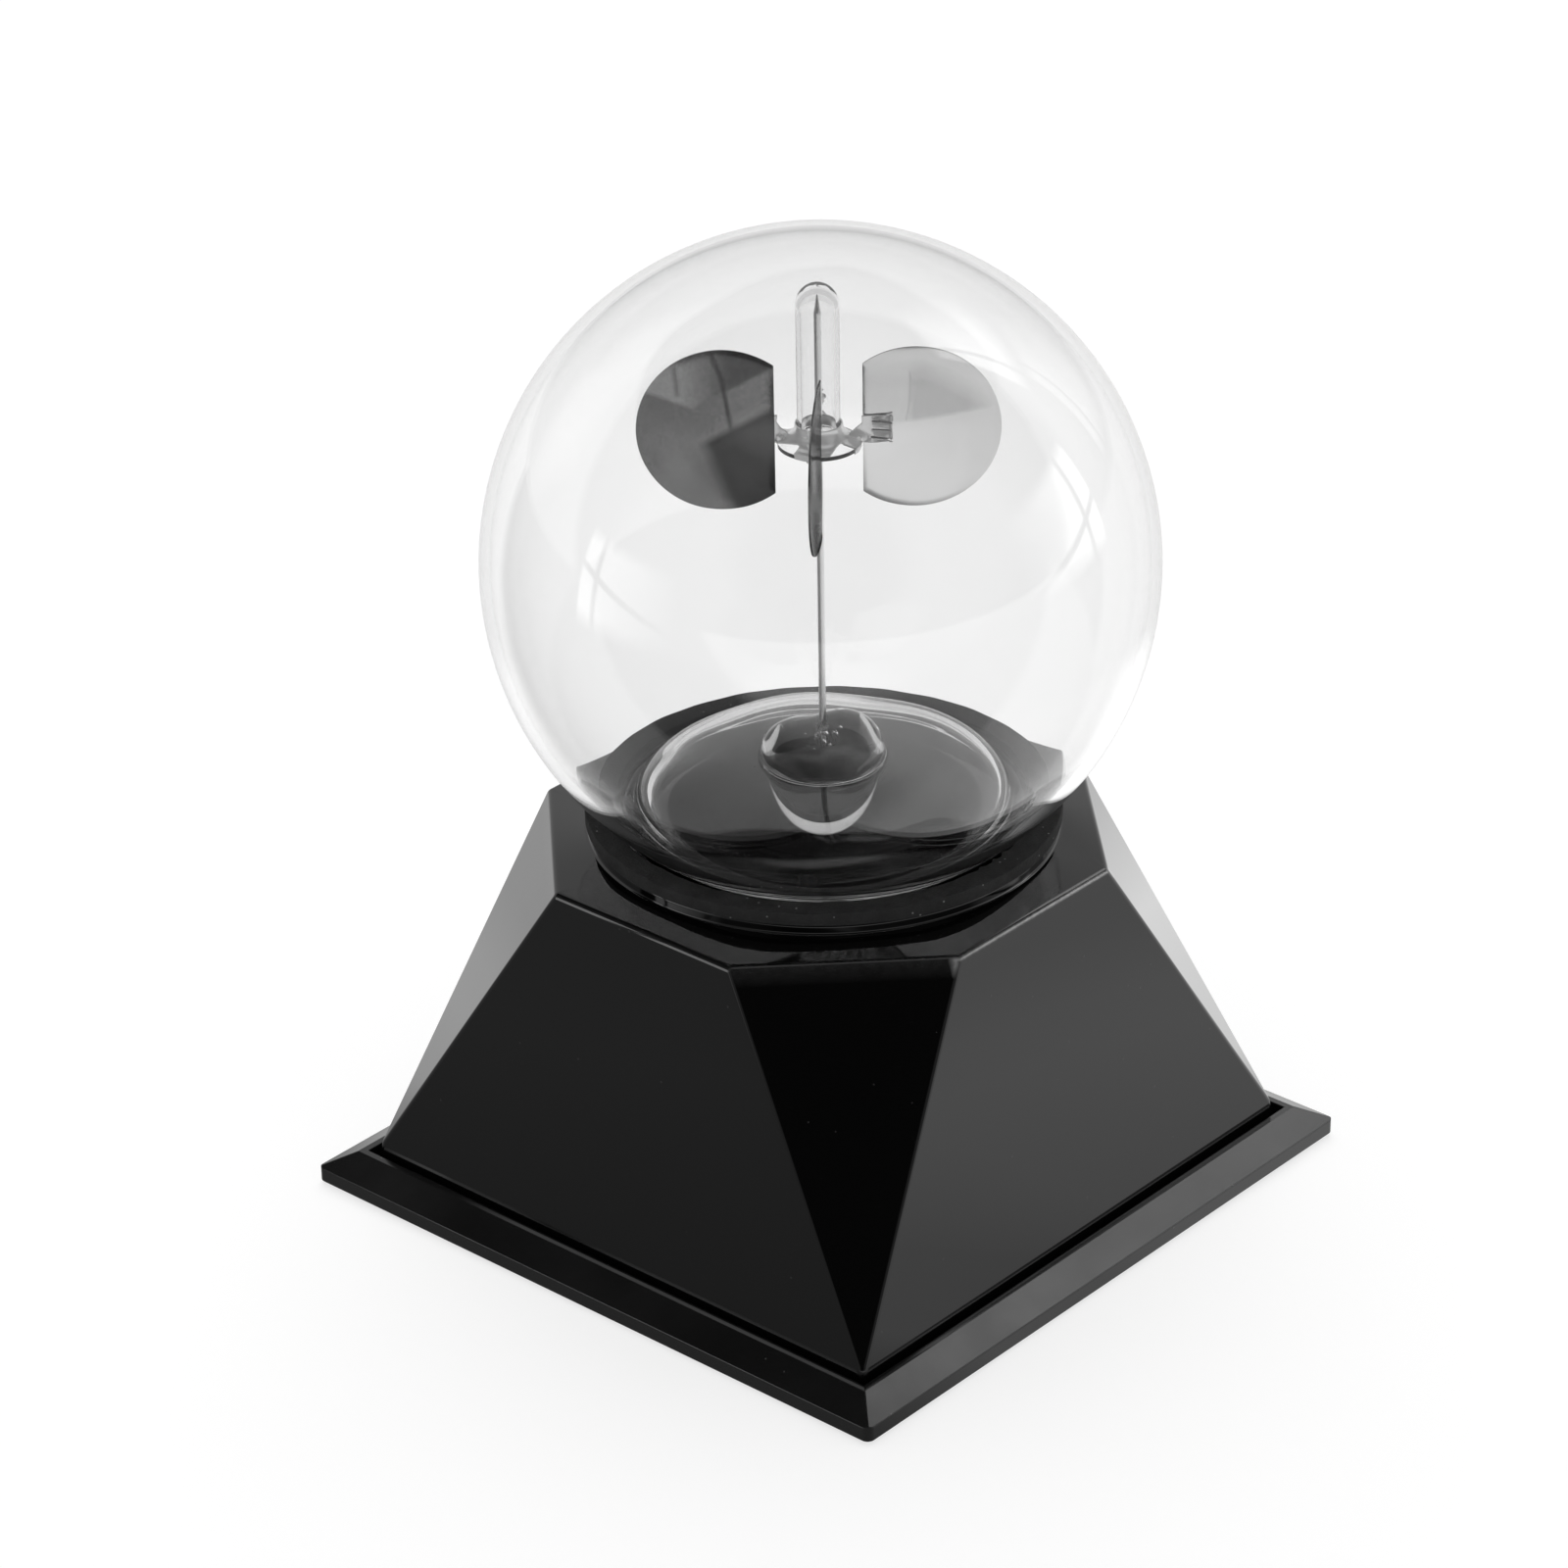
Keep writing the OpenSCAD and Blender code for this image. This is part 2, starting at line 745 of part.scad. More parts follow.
// Solid that a vane's pan is cut from: a low cone with one sloped flat side
module pan_block(shift) {
    floor_r = vane_r - vane_rim_w;
    translate([0, shift, 0])
        difference() {
            rotate([-90, 0, 0])
                cylinder(h = pan_depth, r1 = floor_r, r2 = vane_r);
            translate([vane_rim_w - vane_chord, 0, 0])
                rotate([0, 0, atan2(vane_rim_w, pan_depth)])
                    translate([-3 * vane_r, -vane_r, -2 * vane_r])
                        cube([3 * vane_r, 3 * vane_r, 4 * vane_r]);
        }
}

// Shallow stamped pan, upright on an arm: one face is bright and the hollow
// face is black, and the tone shows which of them the first view sees
module vane(turn, tone) {
    color(tone)
        rotate([0, 0, rest_turn + turn])
            translate([vane_inner + vane_chord, -vane_t / 2, vane_z])
                difference() {
                    pan_block(0);
                    pan_block(vane_t);
                }
}

base_plate();
foot(180);  // foot_front
foot(270);  // foot_right
foot(0);  // foot_back
foot(90);  // foot_left
base_body();
base_screws();
seat_ring();
globe();
exhaust_tip();
needle_bead();
pivot_needle();
spindle_cup();
vane_spider();
vane(0, black_tone);  // vane_left
vane(90, black_tone);  // vane_front
vane(180, bright_tone);  // vane_right
vane(270, bright_tone);  // vane_back
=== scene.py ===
"""Looks of a Crookes radiometer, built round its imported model.

Metres in Blender, and the frame of the solids: +Z up, the origin on the ground below
the needle, and the sides of the base along X and Y. The shapes below are worked out in
millimetres and turned into metres where a mesh is made.
"""
from math import acos, atan2, cos, degrees, hypot, pi, radians, sin, sqrt, tan

import bmesh
import bpy
import numpy as np
from mathutils import Matrix, Vector


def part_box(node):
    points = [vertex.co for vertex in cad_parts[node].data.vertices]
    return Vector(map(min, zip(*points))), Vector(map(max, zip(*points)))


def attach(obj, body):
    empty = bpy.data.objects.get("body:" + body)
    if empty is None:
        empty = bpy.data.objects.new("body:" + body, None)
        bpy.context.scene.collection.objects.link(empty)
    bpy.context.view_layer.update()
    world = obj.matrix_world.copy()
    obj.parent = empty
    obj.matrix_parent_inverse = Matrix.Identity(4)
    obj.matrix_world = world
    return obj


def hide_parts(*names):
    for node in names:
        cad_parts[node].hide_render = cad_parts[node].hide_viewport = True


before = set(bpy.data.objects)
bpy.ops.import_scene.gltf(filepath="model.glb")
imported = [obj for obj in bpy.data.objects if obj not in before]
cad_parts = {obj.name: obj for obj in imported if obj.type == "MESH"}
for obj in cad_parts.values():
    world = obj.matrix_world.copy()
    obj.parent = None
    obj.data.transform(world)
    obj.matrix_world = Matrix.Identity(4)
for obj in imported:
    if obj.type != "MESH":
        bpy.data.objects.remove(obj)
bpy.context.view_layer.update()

MM = 0.001
UP = np.array([0.0, 0.0, 1.0])


def box(node):
    """Lowest and highest corner of a solid, in millimetres."""
    low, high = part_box(node)
    return np.array(low) / MM, np.array(high) / MM


# ---- Sizes in millimetres, from the frame where it has them ----
body_low, body_high = box("base_body")
globe_low, globe_high = box("globe")
ring_low, ring_high = box("seat_ring")
tip_low, _ = box("exhaust_tip")
cup_low, cup_high = box("spindle_cup")
vane_low, vane_high = box("vane_left")

globe_r = globe_high[0]
globe_z = globe_high[2] - globe_r
glass_t = 1.3
heel_round = 1.3
heel_z = globe_low[2] + heel_round
punt_rise = 5.1
punt_z = globe_low[2] + punt_rise
cushion_rise = 1.4
cushion_z = punt_z + glass_t + cushion_rise
rest_turn = radians(131.7)  # azimuth of the left vane at rest
view_side = np.array([-0.7475, -0.6643, 0.0])  # level direction to the camera
view_level, view_up = 0.883, 0.468  # cosine and sine of its elevation


# ---- Meshes ----
def arc(centre, radius, start, end, count):
    """Points on a circle, from one angle in degrees to another, ends included."""
    a = np.radians(np.linspace(start, end, count))
    return np.stack([centre[0] + radius * np.cos(a), centre[1] + radius * np.sin(a)], -1)


def turned(path, columns):
    """A profile (radius, height) carried round the axis: x = r cos a, y = r sin a."""
    a = np.linspace(0, 2 * pi, columns, endpoint=False)
    r, z = path[:, :1], path[:, 1:]
    return np.stack([r * np.cos(a), r * np.sin(a), z + 0 * a], -1)


def grid_faces(rings, columns, closed, offset=0):
    """Quads between neighbouring rings, each ring joined end to end. A closed grid
    also joins its last ring to its first."""
    i = np.arange(rings if closed else rings - 1)[:, None]
    j = np.arange(columns)[None, :]
    n, k = (i + 1) % rings, (j + 1) % columns
    quads = [i * columns + j, n * columns + j, n * columns + k, i * columns + k]
    return np.stack(quads, -1).reshape(-1, 4) + offset


def surface(rows, closed=False, poles=(None, None), normals=None, solid=1):
    """Vertices and faces of a grid of rings (rings, columns, 3). A pole closes an end
    with a fan. The faces are turned so that the enclosed volume, the sum of
    a . (b x c) / 6 over the triangles, has the sign of solid: -1 is a hollow in glass."""
    rings, columns, _ = rows.shape
    points = rows.reshape(-1, 3)
    quads = grid_faces(rings, columns, closed)
    j = np.arange(columns)
    k = (j + 1) % columns
    fans = []
    for pole, base, first in ((poles[0], 0, True), (poles[1], (rings - 1) * columns, False)):
        if pole is None:
            continue
        tip = np.full(columns, len(points))
        points = np.vstack([points, pole])
        fan = [tip, base + j, base + k] if first else [base + j, tip, base + k]
        fans.append(np.stack(fan, -1))
    fans = np.vstack(fans) if fans else np.zeros((0, 3), int)
    tris = np.vstack([quads[:, [0, 1, 2]], quads[:, [0, 2, 3]], fans])
    a, b, c = (points[tris[:, i]] for i in range(3))
    if np.einsum("ij,ij->i", a, np.cross(b, c)).sum() * solid < 0:
        quads, fans = quads[:, ::-1], fans[:, ::-1]
    flat = None if normals is None else normals.reshape(-1, 3)
    return points, quads, fans, flat


def linked(name, data):
    """A new object in the scene, at the origin."""
    made = bpy.data.objects.new(name, data)
    bpy.context.scene.collection.objects.link(made)
    return made


def piece(name, parts, materials, body, stands_for, sharp=None, sides=None):
    """One object from several surfaces. Its place is in its mesh, in metres. sides tells
    which of the materials each face has, and sharp the angle at which edges stay sharp."""
    points, faces, normals, base = [], [], [], 0
    for p, quads, fans, flat in parts:
        points.append(p)
        faces += (quads + base).tolist() + (fans + base).tolist()
        normals.append(flat)
        base += len(p)
    mesh = bpy.data.meshes.new(name)
    mesh.from_pydata((np.vstack(points) * MM).tolist(), [], faces)
    mesh.polygons.foreach_set("use_smooth", [True] * len(mesh.polygons))
    for m in materials:
        mesh.materials.append(m)
    if sides is not None:
        mesh.polygons.foreach_set("material_index", sides)
    if all(n is not None for n in normals):
        mesh.normals_split_custom_set_from_vertices(np.vstack(normals).tolist())
    elif sharp is not None:
        mesh.set_sharp_from_angle(angle=radians(sharp))
    mesh.update()
    made = linked(name, mesh)
    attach(made, body)
    if stands_for:
        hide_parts(*stands_for)
    return made


def marked(made, name, values):
    """A number at each vertex, which the material reads."""
    numbers = made.data.attributes.new(name, "FLOAT", "POINT")
    numbers.data.foreach_set("value", values.astype(np.float32))


def slerp(a, b, t):
    """Unit vectors between a and b along the great circle: a sin((1-t)w) + b sin(tw)
    over sin w, where w is the angle between them."""
    w = np.arccos(np.clip((a * b).sum(-1, keepdims=True), -1, 1))
    s = np.where(w < 1e-6, 1, np.sin(w))
    mixed = (np.sin((1 - t) * w) * a + np.sin(t * w) * b) / s
    return np.where(w < 1e-6, a + 0 * t, mixed)


# ---- Materials ----
def add(tree, kind, values=None, **settings):
    """A node with its settings. A value is a plain one, or a socket to join."""
    made = tree.nodes.new(kind)
    for key, value in settings.items():
        setattr(made, key, value)
    for key, value in (values or {}).items():
        if isinstance(value, bpy.types.NodeSocket):
            tree.links.new(value, made.inputs[key])
        else:
            made.inputs[key].default_value = value
    return made


def maths(tree, operation, *values):
    """A number worked out from one, two or three others, each plain or a socket."""
    return add(tree, "ShaderNodeMath", dict(enumerate(values)), operation=operation).outputs[0]


def dot(tree, a, b):
    """The product a . b of two directions: the cosine of the angle between them."""
    return add(tree, "ShaderNodeVectorMath", {0: a, 1: b}, operation="DOT_PRODUCT").outputs["Value"]


def empty_material(name):
    """A new material and its node tree, with nothing in it."""
    made = bpy.data.materials.new(name)
    made.use_nodes = True
    made.node_tree.nodes.clear()
    return made, made.node_tree


def finished(tree, result, kind="ShaderNodeOutputMaterial"):
    """Joins a shader's result to the output of its tree."""
    add(tree, kind, {"Surface": result})


def material(name, values):
    """A material with one Principled shader, some of its values, and the place on the object."""
    made, tree = empty_material(name)
    shader = add(tree, "ShaderNodeBsdfPrincipled", values)
    finished(tree, shader.outputs["BSDF"])
    place = add(tree, "ShaderNodeTexCoord").outputs["Object"]
    return made, tree, shader, place


def noise(tree, place, scale, detail=2.0, rough=0.5, warp=0.0):
    """Cloudy pattern from 0 to 1, scale in waves per metre."""
    made = add(tree, "ShaderNodeTexNoise", {"Vector": place, "Scale": scale, "Detail": detail,
                                            "Roughness": rough, "Distortion": warp})
    return made.outputs["Fac"]


def ramp(tree, value, low, high, to_low, to_high):
    """value between low and high becomes to_low to to_high, held at both ends."""
    made = add(tree, "ShaderNodeMapRange", {"Value": value, "From Min": low, "From Max": high,
                                            "To Min": to_low, "To Max": to_high})
    return made.outputs["Result"]


def blend(tree, share, a, b):
    """Colour a where share is 0 and b where it is 1."""
    made = add(tree, "ShaderNodeMix", data_type="RGBA")
    for index, value in ((0, share), (6, a), (7, b)):
        if isinstance(value, bpy.types.NodeSocket):
            tree.links.new(value, made.inputs[index])
        else:
            made.inputs[index].default_value = value
    return made.outputs[2]


def specks(tree, place, scale, size, share):
    """1 on small round specks in a share of the cells, 0 elsewhere."""
    cells = add(tree, "ShaderNodeTexVoronoi", {"Vector": place, "Scale": scale, "Randomness": 1.0})
    near = maths(tree, "LESS_THAN", cells.outputs["Distance"], size)
    pick = add(tree, "ShaderNodeSeparateColor", {"Color": cells.outputs["Color"]})
    chosen = maths(tree, "LESS_THAN", pick.outputs["Red"], share)
    return maths(tree, "MULTIPLY", near, chosen)


def bump(tree, shader, height, strength, distance, under=None):
    """Height pattern on the shader's normal. distance is in metres."""
    values = {"Height": height, "Strength": strength, "Distance": distance}
    if under is not None:
        values["Normal"] = under
    made = add(tree, "ShaderNodeBump", values)
    tree.links.new(made.outputs["Normal"], shader.inputs["Normal"])
    return made.outputs["Normal"]


def grey(level):
    """A neutral colour."""
    return (level, level, level, 1.0)


def black_plastic(name, tone, rough_low, rough_high, ior, wave):
    """Moulded black plastic: a faint wave in the gloss, rubbed patches, dust, and paler
    edges where the edge attribute says so: slight wear, and a painted highlight along one edge."""
    made, tree, shader, place = material(name, {"IOR": ior})
    clouds = noise(tree, place, 55, 4, 0.6)
    fine = noise(tree, place, 900, 3, 0.6)
    dust = specks(tree, place, 420, 0.055, 0.3)
    # The edge attribute lightens the plastic towards grey 0.42: slight wear on every top edge and a
    # painted highlight along the one that looks along -Y.
    wear_and_highlight = add(tree, "ShaderNodeAttribute", attribute_name="wear_and_highlight").outputs["Fac"]
    patchy = maths(tree, "MULTIPLY", wear_and_highlight, ramp(tree, fine, 0.3, 0.6, 0.55, 1.0))
    dusty = blend(tree, dust, grey(tone), grey(tone * 6 + 0.02))
    tree.links.new(blend(tree, patchy, dusty, grey(0.42)), shader.inputs["Base Color"])
    tree.links.new(ramp(tree, clouds, 0.35, 0.7, rough_low, rough_high), shader.inputs["Roughness"])
    slow = bump(tree, shader, noise(tree, place, 38, 1), wave, 0.0006)
    bump(tree, shader, fine, 0.02, 0.00004, slow)
    return made


def foam_material():
    """Black closed-cell foam with a few specks of dust."""
    values = {"Roughness": 0.92, "Specular IOR Level": 0.3}
    made, tree, shader, place = material("ring_foam", values)
    cells = add(tree, "ShaderNodeTexVoronoi", {"Vector": place, "Scale": 3200.0})
    clouds = noise(tree, place, 160, 4, 0.7)
    tone = blend(tree, ramp(tree, clouds, 0.3, 0.75, 0, 1), grey(0.026), grey(0.05))
    dust = specks(tree, place, 1100, 0.13, 0.22)
    tree.links.new(blend(tree, dust, tone, grey(0.28)), shader.inputs["Base Color"])
    bump(tree, shader, cells.outputs["Distance"], 0.5, 0.00012)
    return made


def rubber_material():
    """Soft black rubber with a fine grain."""
    values = {"Roughness": 0.75, "Specular IOR Level": 0.35}
    made, tree, shader, place = material("foot_rubber", values)
    clouds = noise(tree, place, 350, 4, 0.7)
    tree.links.new(blend(tree, clouds, grey(0.014), grey(0.03)), shader.inputs["Base Color"])
    bump(tree, shader, noise(tree, place, 4200, 2), 0.3, 0.00005)
    return made


def steel_material(name, tone, rough, along):
    """Drawn or turned steel: streaks along one direction."""
    made, tree, shader, place = material(name, {"Metallic": 1.0})
    stretched = add(tree, "ShaderNodeMapping", {"Vector": place, "Scale": along})
    streaks = noise(tree, stretched.outputs["Vector"], 1500, 3, 0.6)
    tree.links.new(blend(tree, streaks, grey(tone * 0.75), grey(tone)), shader.inputs["Base Color"])
    tree.links.new(ramp(tree, streaks, 0.3, 0.7, rough, rough + 0.14), shader.inputs["Roughness"])
    bump(tree, shader, streaks, 0.15, 0.00003)
    return made


def glass_material(name, tone, wave, ior=1.5):
    """Clear glass with the slow waves of blown work."""
    values = {"Transmission Weight": 1.0, "Roughness": 0.0, "IOR": ior}
    made, tree, shader, place = material(name, values)
    colour = blend(tree, noise(tree, place, 14, 1), grey(tone - 0.01), grey(tone + 0.01))
    tree.links.new(colour, shader.inputs["Base Color"])
    bump(tree, shader, noise(tree, place, 26, 0), wave, 0.0012)
    return made


def bright_sheet():
    """Rolled aluminium sheet with waves from handling, as pale as the attribute tone says,
    which carries painted reflections.
    """
    made, tree, shader, place = material("vane_bright", {"Metallic": 1.0})
    clouds = noise(tree, place, 120, 4, 0.6)
    # Painted reflections from the attribute tone set how pale the silver side is.
    tone = add(tree, "ShaderNodeAttribute", attribute_name="tone").outputs["Fac"]
    pale_share = maths(tree, "MULTIPLY_ADD", clouds, 0.12, tone)
    tree.links.new(blend(tree, pale_share, grey(0.4), grey(0.86)), shader.inputs["Base Color"])
    tree.links.new(ramp(tree, clouds, 0.3, 0.7, 0.1, 0.2), shader.inputs["Roughness"])
    slow = bump(tree, shader, noise(tree, place, 60, 1), 0.25, 0.0012)
    bump(tree, shader, noise(tree, place, 1800, 3, 0.6), 0.06, 0.00003, slow)
    return made


def black_sheet():
    """The same sheet blackened: as pale as the attribute tone says, which carries painted
    reflections, with fine scuffs, and dark too when seen along the sheet."""
    values = {"Metallic": 1.0, "Specular Tint": grey(0.25)}
    made, tree, shader, place = material("vane_black", values)
    scuffs = noise(tree, place, 2600, 3, 0.7)
    # Painted reflections from the attribute tone set how pale the blackened side is.
    tone = add(tree, "ShaderNodeAttribute", attribute_name="tone").outputs["Fac"]
    pale_share = maths(tree, "MULTIPLY_ADD", scuffs, 0.12, tone)
    tree.links.new(blend(tree, pale_share, grey(0.02), grey(0.5)), shader.inputs["Base Color"])
    tree.links.new(ramp(tree, scuffs, 0.35, 0.75, 0.1, 0.25), shader.inputs["Roughness"])
    slow = bump(tree, shader, noise(tree, place, 70, 1), 0.3, 0.0012)
    bump(tree, shader, scuffs, 0.08, 0.00003, slow)
    return made


def spider_metal():
    """Thin bright sheet, crumpled by folding."""
    made, tree, shader, place = material("spider_metal", {"Metallic": 0.5})
    clouds = noise(tree, place, 700, 4, 0.6, 0.6)
    tree.links.new(blend(tree, clouds, grey(0.8), grey(0.98)), shader.inputs["Base Color"])
    tree.links.new(ramp(tree, clouds, 0.3, 0.7, 0.12, 0.28), shader.inputs["Roughness"])
    slow = bump(tree, shader, noise(tree, place, 420, 2), 0.35, 0.0004)
    bump(tree, shader, noise(tree, place, 2600, 3, 0.6), 0.1, 0.00003, slow)
    return made


body_black = black_plastic("body_plastic", tone=0.0012, rough_low=0.03, rough_high=0.07,
                           ior=1.53, wave=0.04)
plate_black = black_plastic("plate_plastic", tone=0.006, rough_low=0.12, rough_high=0.22,
                            ior=1.56, wave=0.05)
foam = foam_material()
rubber = rubber_material()
screw_steel = steel_material("screw_steel", tone=0.5, rough=0.25, along=(1, 1, 1))
needle_steel = steel_material("needle_steel", tone=0.98, rough=0.2, along=(1, 1, 0.04))
globe_glass = glass_material("globe_glass", tone=0.965, wave=0.006)
cup_glass = glass_material("cup_glass", tone=0.985, wave=0.03, ior=1.36)
bright = bright_sheet()
dark = black_sheet()
spider = spider_metal()


def finish_node(node, finish):
    """The finish goes on a solid that keeps its own mesh."""
    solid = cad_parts[node]
    for slot in solid.material_slots:
        slot.material = finish
    if not solid.material_slots:
        solid.data.materials.append(finish)


# ---- Base body: a convex form rolled round with a ball ----
body_w, top_w, body_h = 78.5, 65.1, 42.3
land_z = 4.3
floor_z = body_low[2]
top_z = land_z + body_h
collar_z = body_high[2]
ring_over = 0.35
collar_r = ring_high[0] - ring_over
collar_bore_r = 19.0
collar_edge_r, bore_edge_r = 0.4, 0.3
edge_r = 1.0
tip_h = 0.6  # height in which the square's edge opens to the corner face
crown = 1.0  # rise of the top face towards the collar
wall_t = 2.0
fillet = 0.35
side_run = (body_w - top_w) / 2 / body_h
corner_run = (body_w * sqrt(2) - top_w) / 2 / body_h
side_inset = edge_r * sqrt(1 + side_run**2)
corner_inset = edge_r * sqrt(1 + corner_run**2)
ball_top_z = top_z - edge_r
ball_apex_z = land_z + (sqrt(2) * side_inset - corner_inset) / (corner_run - sqrt(2) * side_run)
ARC, CORNER_EDGE, SIDE_EDGE = 10, 26, 34


def body_columns():
    """Shares of the way from corner to corner and the normals round a quarter of the
    body: an arc, the corner face, an arc, the side. The lower normals belong to the
    square part, where both arcs are one."""
    side_a = np.array([1, 0, side_run]) / hypot(1, side_run)
    side_b = np.array([0, 1, side_run]) / hypot(1, side_run)
    corner = np.array([1, 1, sqrt(2) * corner_run]) / sqrt(2 + 2 * corner_run**2)
    t = np.linspace(0, 1, ARC + 1)[:, None]
    inner = np.arange(1, CORNER_EDGE)[:, None] / CORNER_EDGE
    outer = np.arange(1, SIDE_EDGE)[:, None] / SIDE_EDGE
    share = np.vstack([0 * t, inner, 0 * t + 1, 1 + outer])[:, 0]
    side = 0 * outer + side_b
    upper = np.vstack([
        slerp(side_a, corner, t), 0 * inner + corner, slerp(corner, side_b, t), side,
    ])
    turn = np.linspace(0, 1, len(share) - len(outer))[:, None]
    lower = np.vstack([slerp(side_a, side_b, turn), side])
    return share, upper, lower


def quarter_turns(rows):
    """The quarter's columns, repeated at 0, 90, 180 and 270 degrees."""
    x, y, z = rows[..., 0], rows[..., 1], rows[..., 2]
    turns = [(x, y), (-y, x), (-x, -y), (y, -x)]
    return np.concatenate([np.stack([a, b, z], -1) for a, b in turns], axis=-2)


def ball_centres(share, z):
    """Centres of the rolling ball at height z: straight between the octagon's corners."""
    side = body_w / 2 - side_run * (z - land_z) - side_inset
    corner = body_w / sqrt(2) - corner_run * (z - land_z) - corner_inset
    short = np.minimum(sqrt(2) * corner - side, side)
    s = share
    first = s <= 1
    t = np.where(first, s, s - 1)
    ax, ay = np.where(first, side, short), np.where(first, short, side)
    bx, by = np.where(first, short, -short), np.where(first, side, side)
    return np.stack([ax + (bx - ax) * t, ay + (by - ay) * t, z + 0 * s], -1)


def base_body():
    """Rows from the foot of the wall up, over the rounded top edge, across the top face,
    which rises gently, to the collar, over it, down its bore and back along the inside."""
    share, upper, lower = body_columns()
    points, normals = [], []

    def ring(centres, normal):
        points.append(centres + edge_r * normal)
        normals.append(normal)

    ring(ball_centres(share, floor_z - edge_r * lower[:, 2]), lower)
    for z in np.linspace(floor_z + 1, ball_apex_z - tip_h, 3):
        ring(ball_centres(share, z + 0 * share), lower)
    for t in np.linspace(0, 1, 7)[1:]:
        ring(ball_centres(share, ball_apex_z + tip_h * (t - 1) + 0 * share), slerp(lower, upper, t))
    for z in np.linspace(ball_apex_z, ball_top_z, 24)[1:]:
        ring(ball_centres(share, z + 0 * share), upper)
    rim = ball_centres(share, ball_top_z + 0 * share)
    out = np.linalg.norm(rim[:, :2], axis=1)
    slope = crown / (out - collar_r)
    top = np.stack([rim[:, 0] / out * slope, rim[:, 1] / out * slope, 0 * out + 1], -1)
    top /= np.linalg.norm(top, axis=1)[:, None]
    for t in np.linspace(0, 1, 9)[1:]:
        ring(rim, slerp(upper, top, t))
    outline, tilt = quarter_turns(points[-1]), quarter_turns(top)
    rows, flat = [quarter_turns(np.array(points))], [quarter_turns(np.array(normals))]
    first = atan2(outline[0, 1], outline[0, 0])
    angle = first + 2 * pi * np.arange(len(outline)) / len(outline)
    around = np.stack([np.cos(angle), np.sin(angle), 0 * angle], -1)

    def rounding(r, z, radius, start, end, count, hollow=False):
        """Circles over a rounded edge whose middle is at radius r and height z, from one
        angle in degrees to another. A hollow one is a fillet."""
        for a in np.radians(np.linspace(start, end, count)):
            way = around * cos(a) + UP * sin(a)
            rows.append((around * r + UP * z + (-radius if hollow else radius) * way)[None])
            flat.append(way[None])

    foot_z = top_z + crown
    for t in (0.35, 0.7, 0.97):
        goal = around * (collar_r + fillet) + UP * foot_z
        rows.append((outline + (goal - outline) * t)[None])
        flat.append(tilt[None])
    roof_z = top_z - wall_t
    bore_mid_r = collar_bore_r + bore_edge_r
    rounding(collar_r + fillet, foot_z + fillet, fillet, 78, 0, 6, hollow=True)
    rounding(collar_r - collar_edge_r, collar_z - collar_edge_r, collar_edge_r, 0, 90, 7)
    rounding(bore_mid_r, collar_z - bore_edge_r, bore_edge_r, 90, 180, 5)
    rounding(bore_mid_r, roof_z + bore_edge_r, bore_edge_r, 180, 270, 5)

    def inside(base, half_width, z, stretch, down):
        """A ring a wall inside the base's, whose normals look down or at the axis."""
        scale = 1 - wall_t / half_width
        inner = base * [scale, scale, 0] + UP * z
        inward = -inner * [1, 1, 0] / np.linalg.norm(inner[:, :2], axis=1)[:, None]
        rows.append((inner * [stretch, stretch, 1])[None])
        flat.append((-UP + 0 * inner if down else inward)[None])

    foot = quarter_turns(points[0])
    inside(outline, outline[:, 0].max(), roof_z, 0.99, True)
    inside(outline, outline[:, 0].max(), roof_z, 1.0, False)
    inside(foot, body_high[0], floor_z, 1.0, False)
    inside(foot, body_high[0], floor_z, 1.01, True)
    return surface(np.concatenate(rows), closed=True, normals=np.concatenate(flat))


def edge_wear_and_highlight(part):
    """1 where the top edge is paler, 0 elsewhere: a bell over the height of the rounding,
    slight on every side as edge wear, and full on the side that looks along -Y, where it is a
    painted highlight."""
    x, y, z = part[0].T
    middle, width, slight = 0.55 * edge_r, 0.17 * edge_r, 0.05
    bell = np.exp(-((z - ball_top_z - middle) / width) ** 2)
    # Painted highlight: the share of the edge that faces along -Y.
    pale_share = np.clip((-y - np.abs(x) * 2.15) / 1.5, 0, 1)
    outer = np.clip(np.hypot(x, y) - collar_r - 1.5, 0, 1)
    return bell * outer * (slight + (1 - slight) * pale_share)


# ---- Glass: one melt of globe, pumping stub and needle bead ----
GLASS_COLUMNS = 216


def cushion(valley_r, valley_z, rise, first_r, rings):
    """The pushed-in bottom from first_r out to its valley: z = low + rise (1 - x^2.5)^(1/2.5)
    with x the share of the way out. It wanders by slow sine waves towards its shoulder."""
    calm_r, power = 7, 2.5
    x = np.sin(np.linspace(np.arcsin(first_r / valley_r), pi / 2, rings))
    z = valley_z + rise * (1 - x**power) ** (1 / power)
    rows = turned(np.stack([x * valley_r, z], -1), GLASS_COLUMNS)
    a = np.linspace(0, 2 * pi, GLASS_COLUMNS, endpoint=False)
    share = np.clip((x[:, None] * valley_r - calm_r) / (valley_r - calm_r), 0, 1)
    sway = 0.38 * np.sin(3 * a + 1.0) + 0.28 * np.sin(5 * a + 2.4) + 0.14 * np.sin(8 * a + 0.7)
    rows[..., 2] += sway * share**2 * (1 - share**8)
    pull = 1 - 0.022 * share**3 * (1 - share**8) * (1 + np.sin(4 * a + 0.8) + 0.6 * np.sin(7 * a))
    rows[..., :2] *= pull[..., None]
    return rows


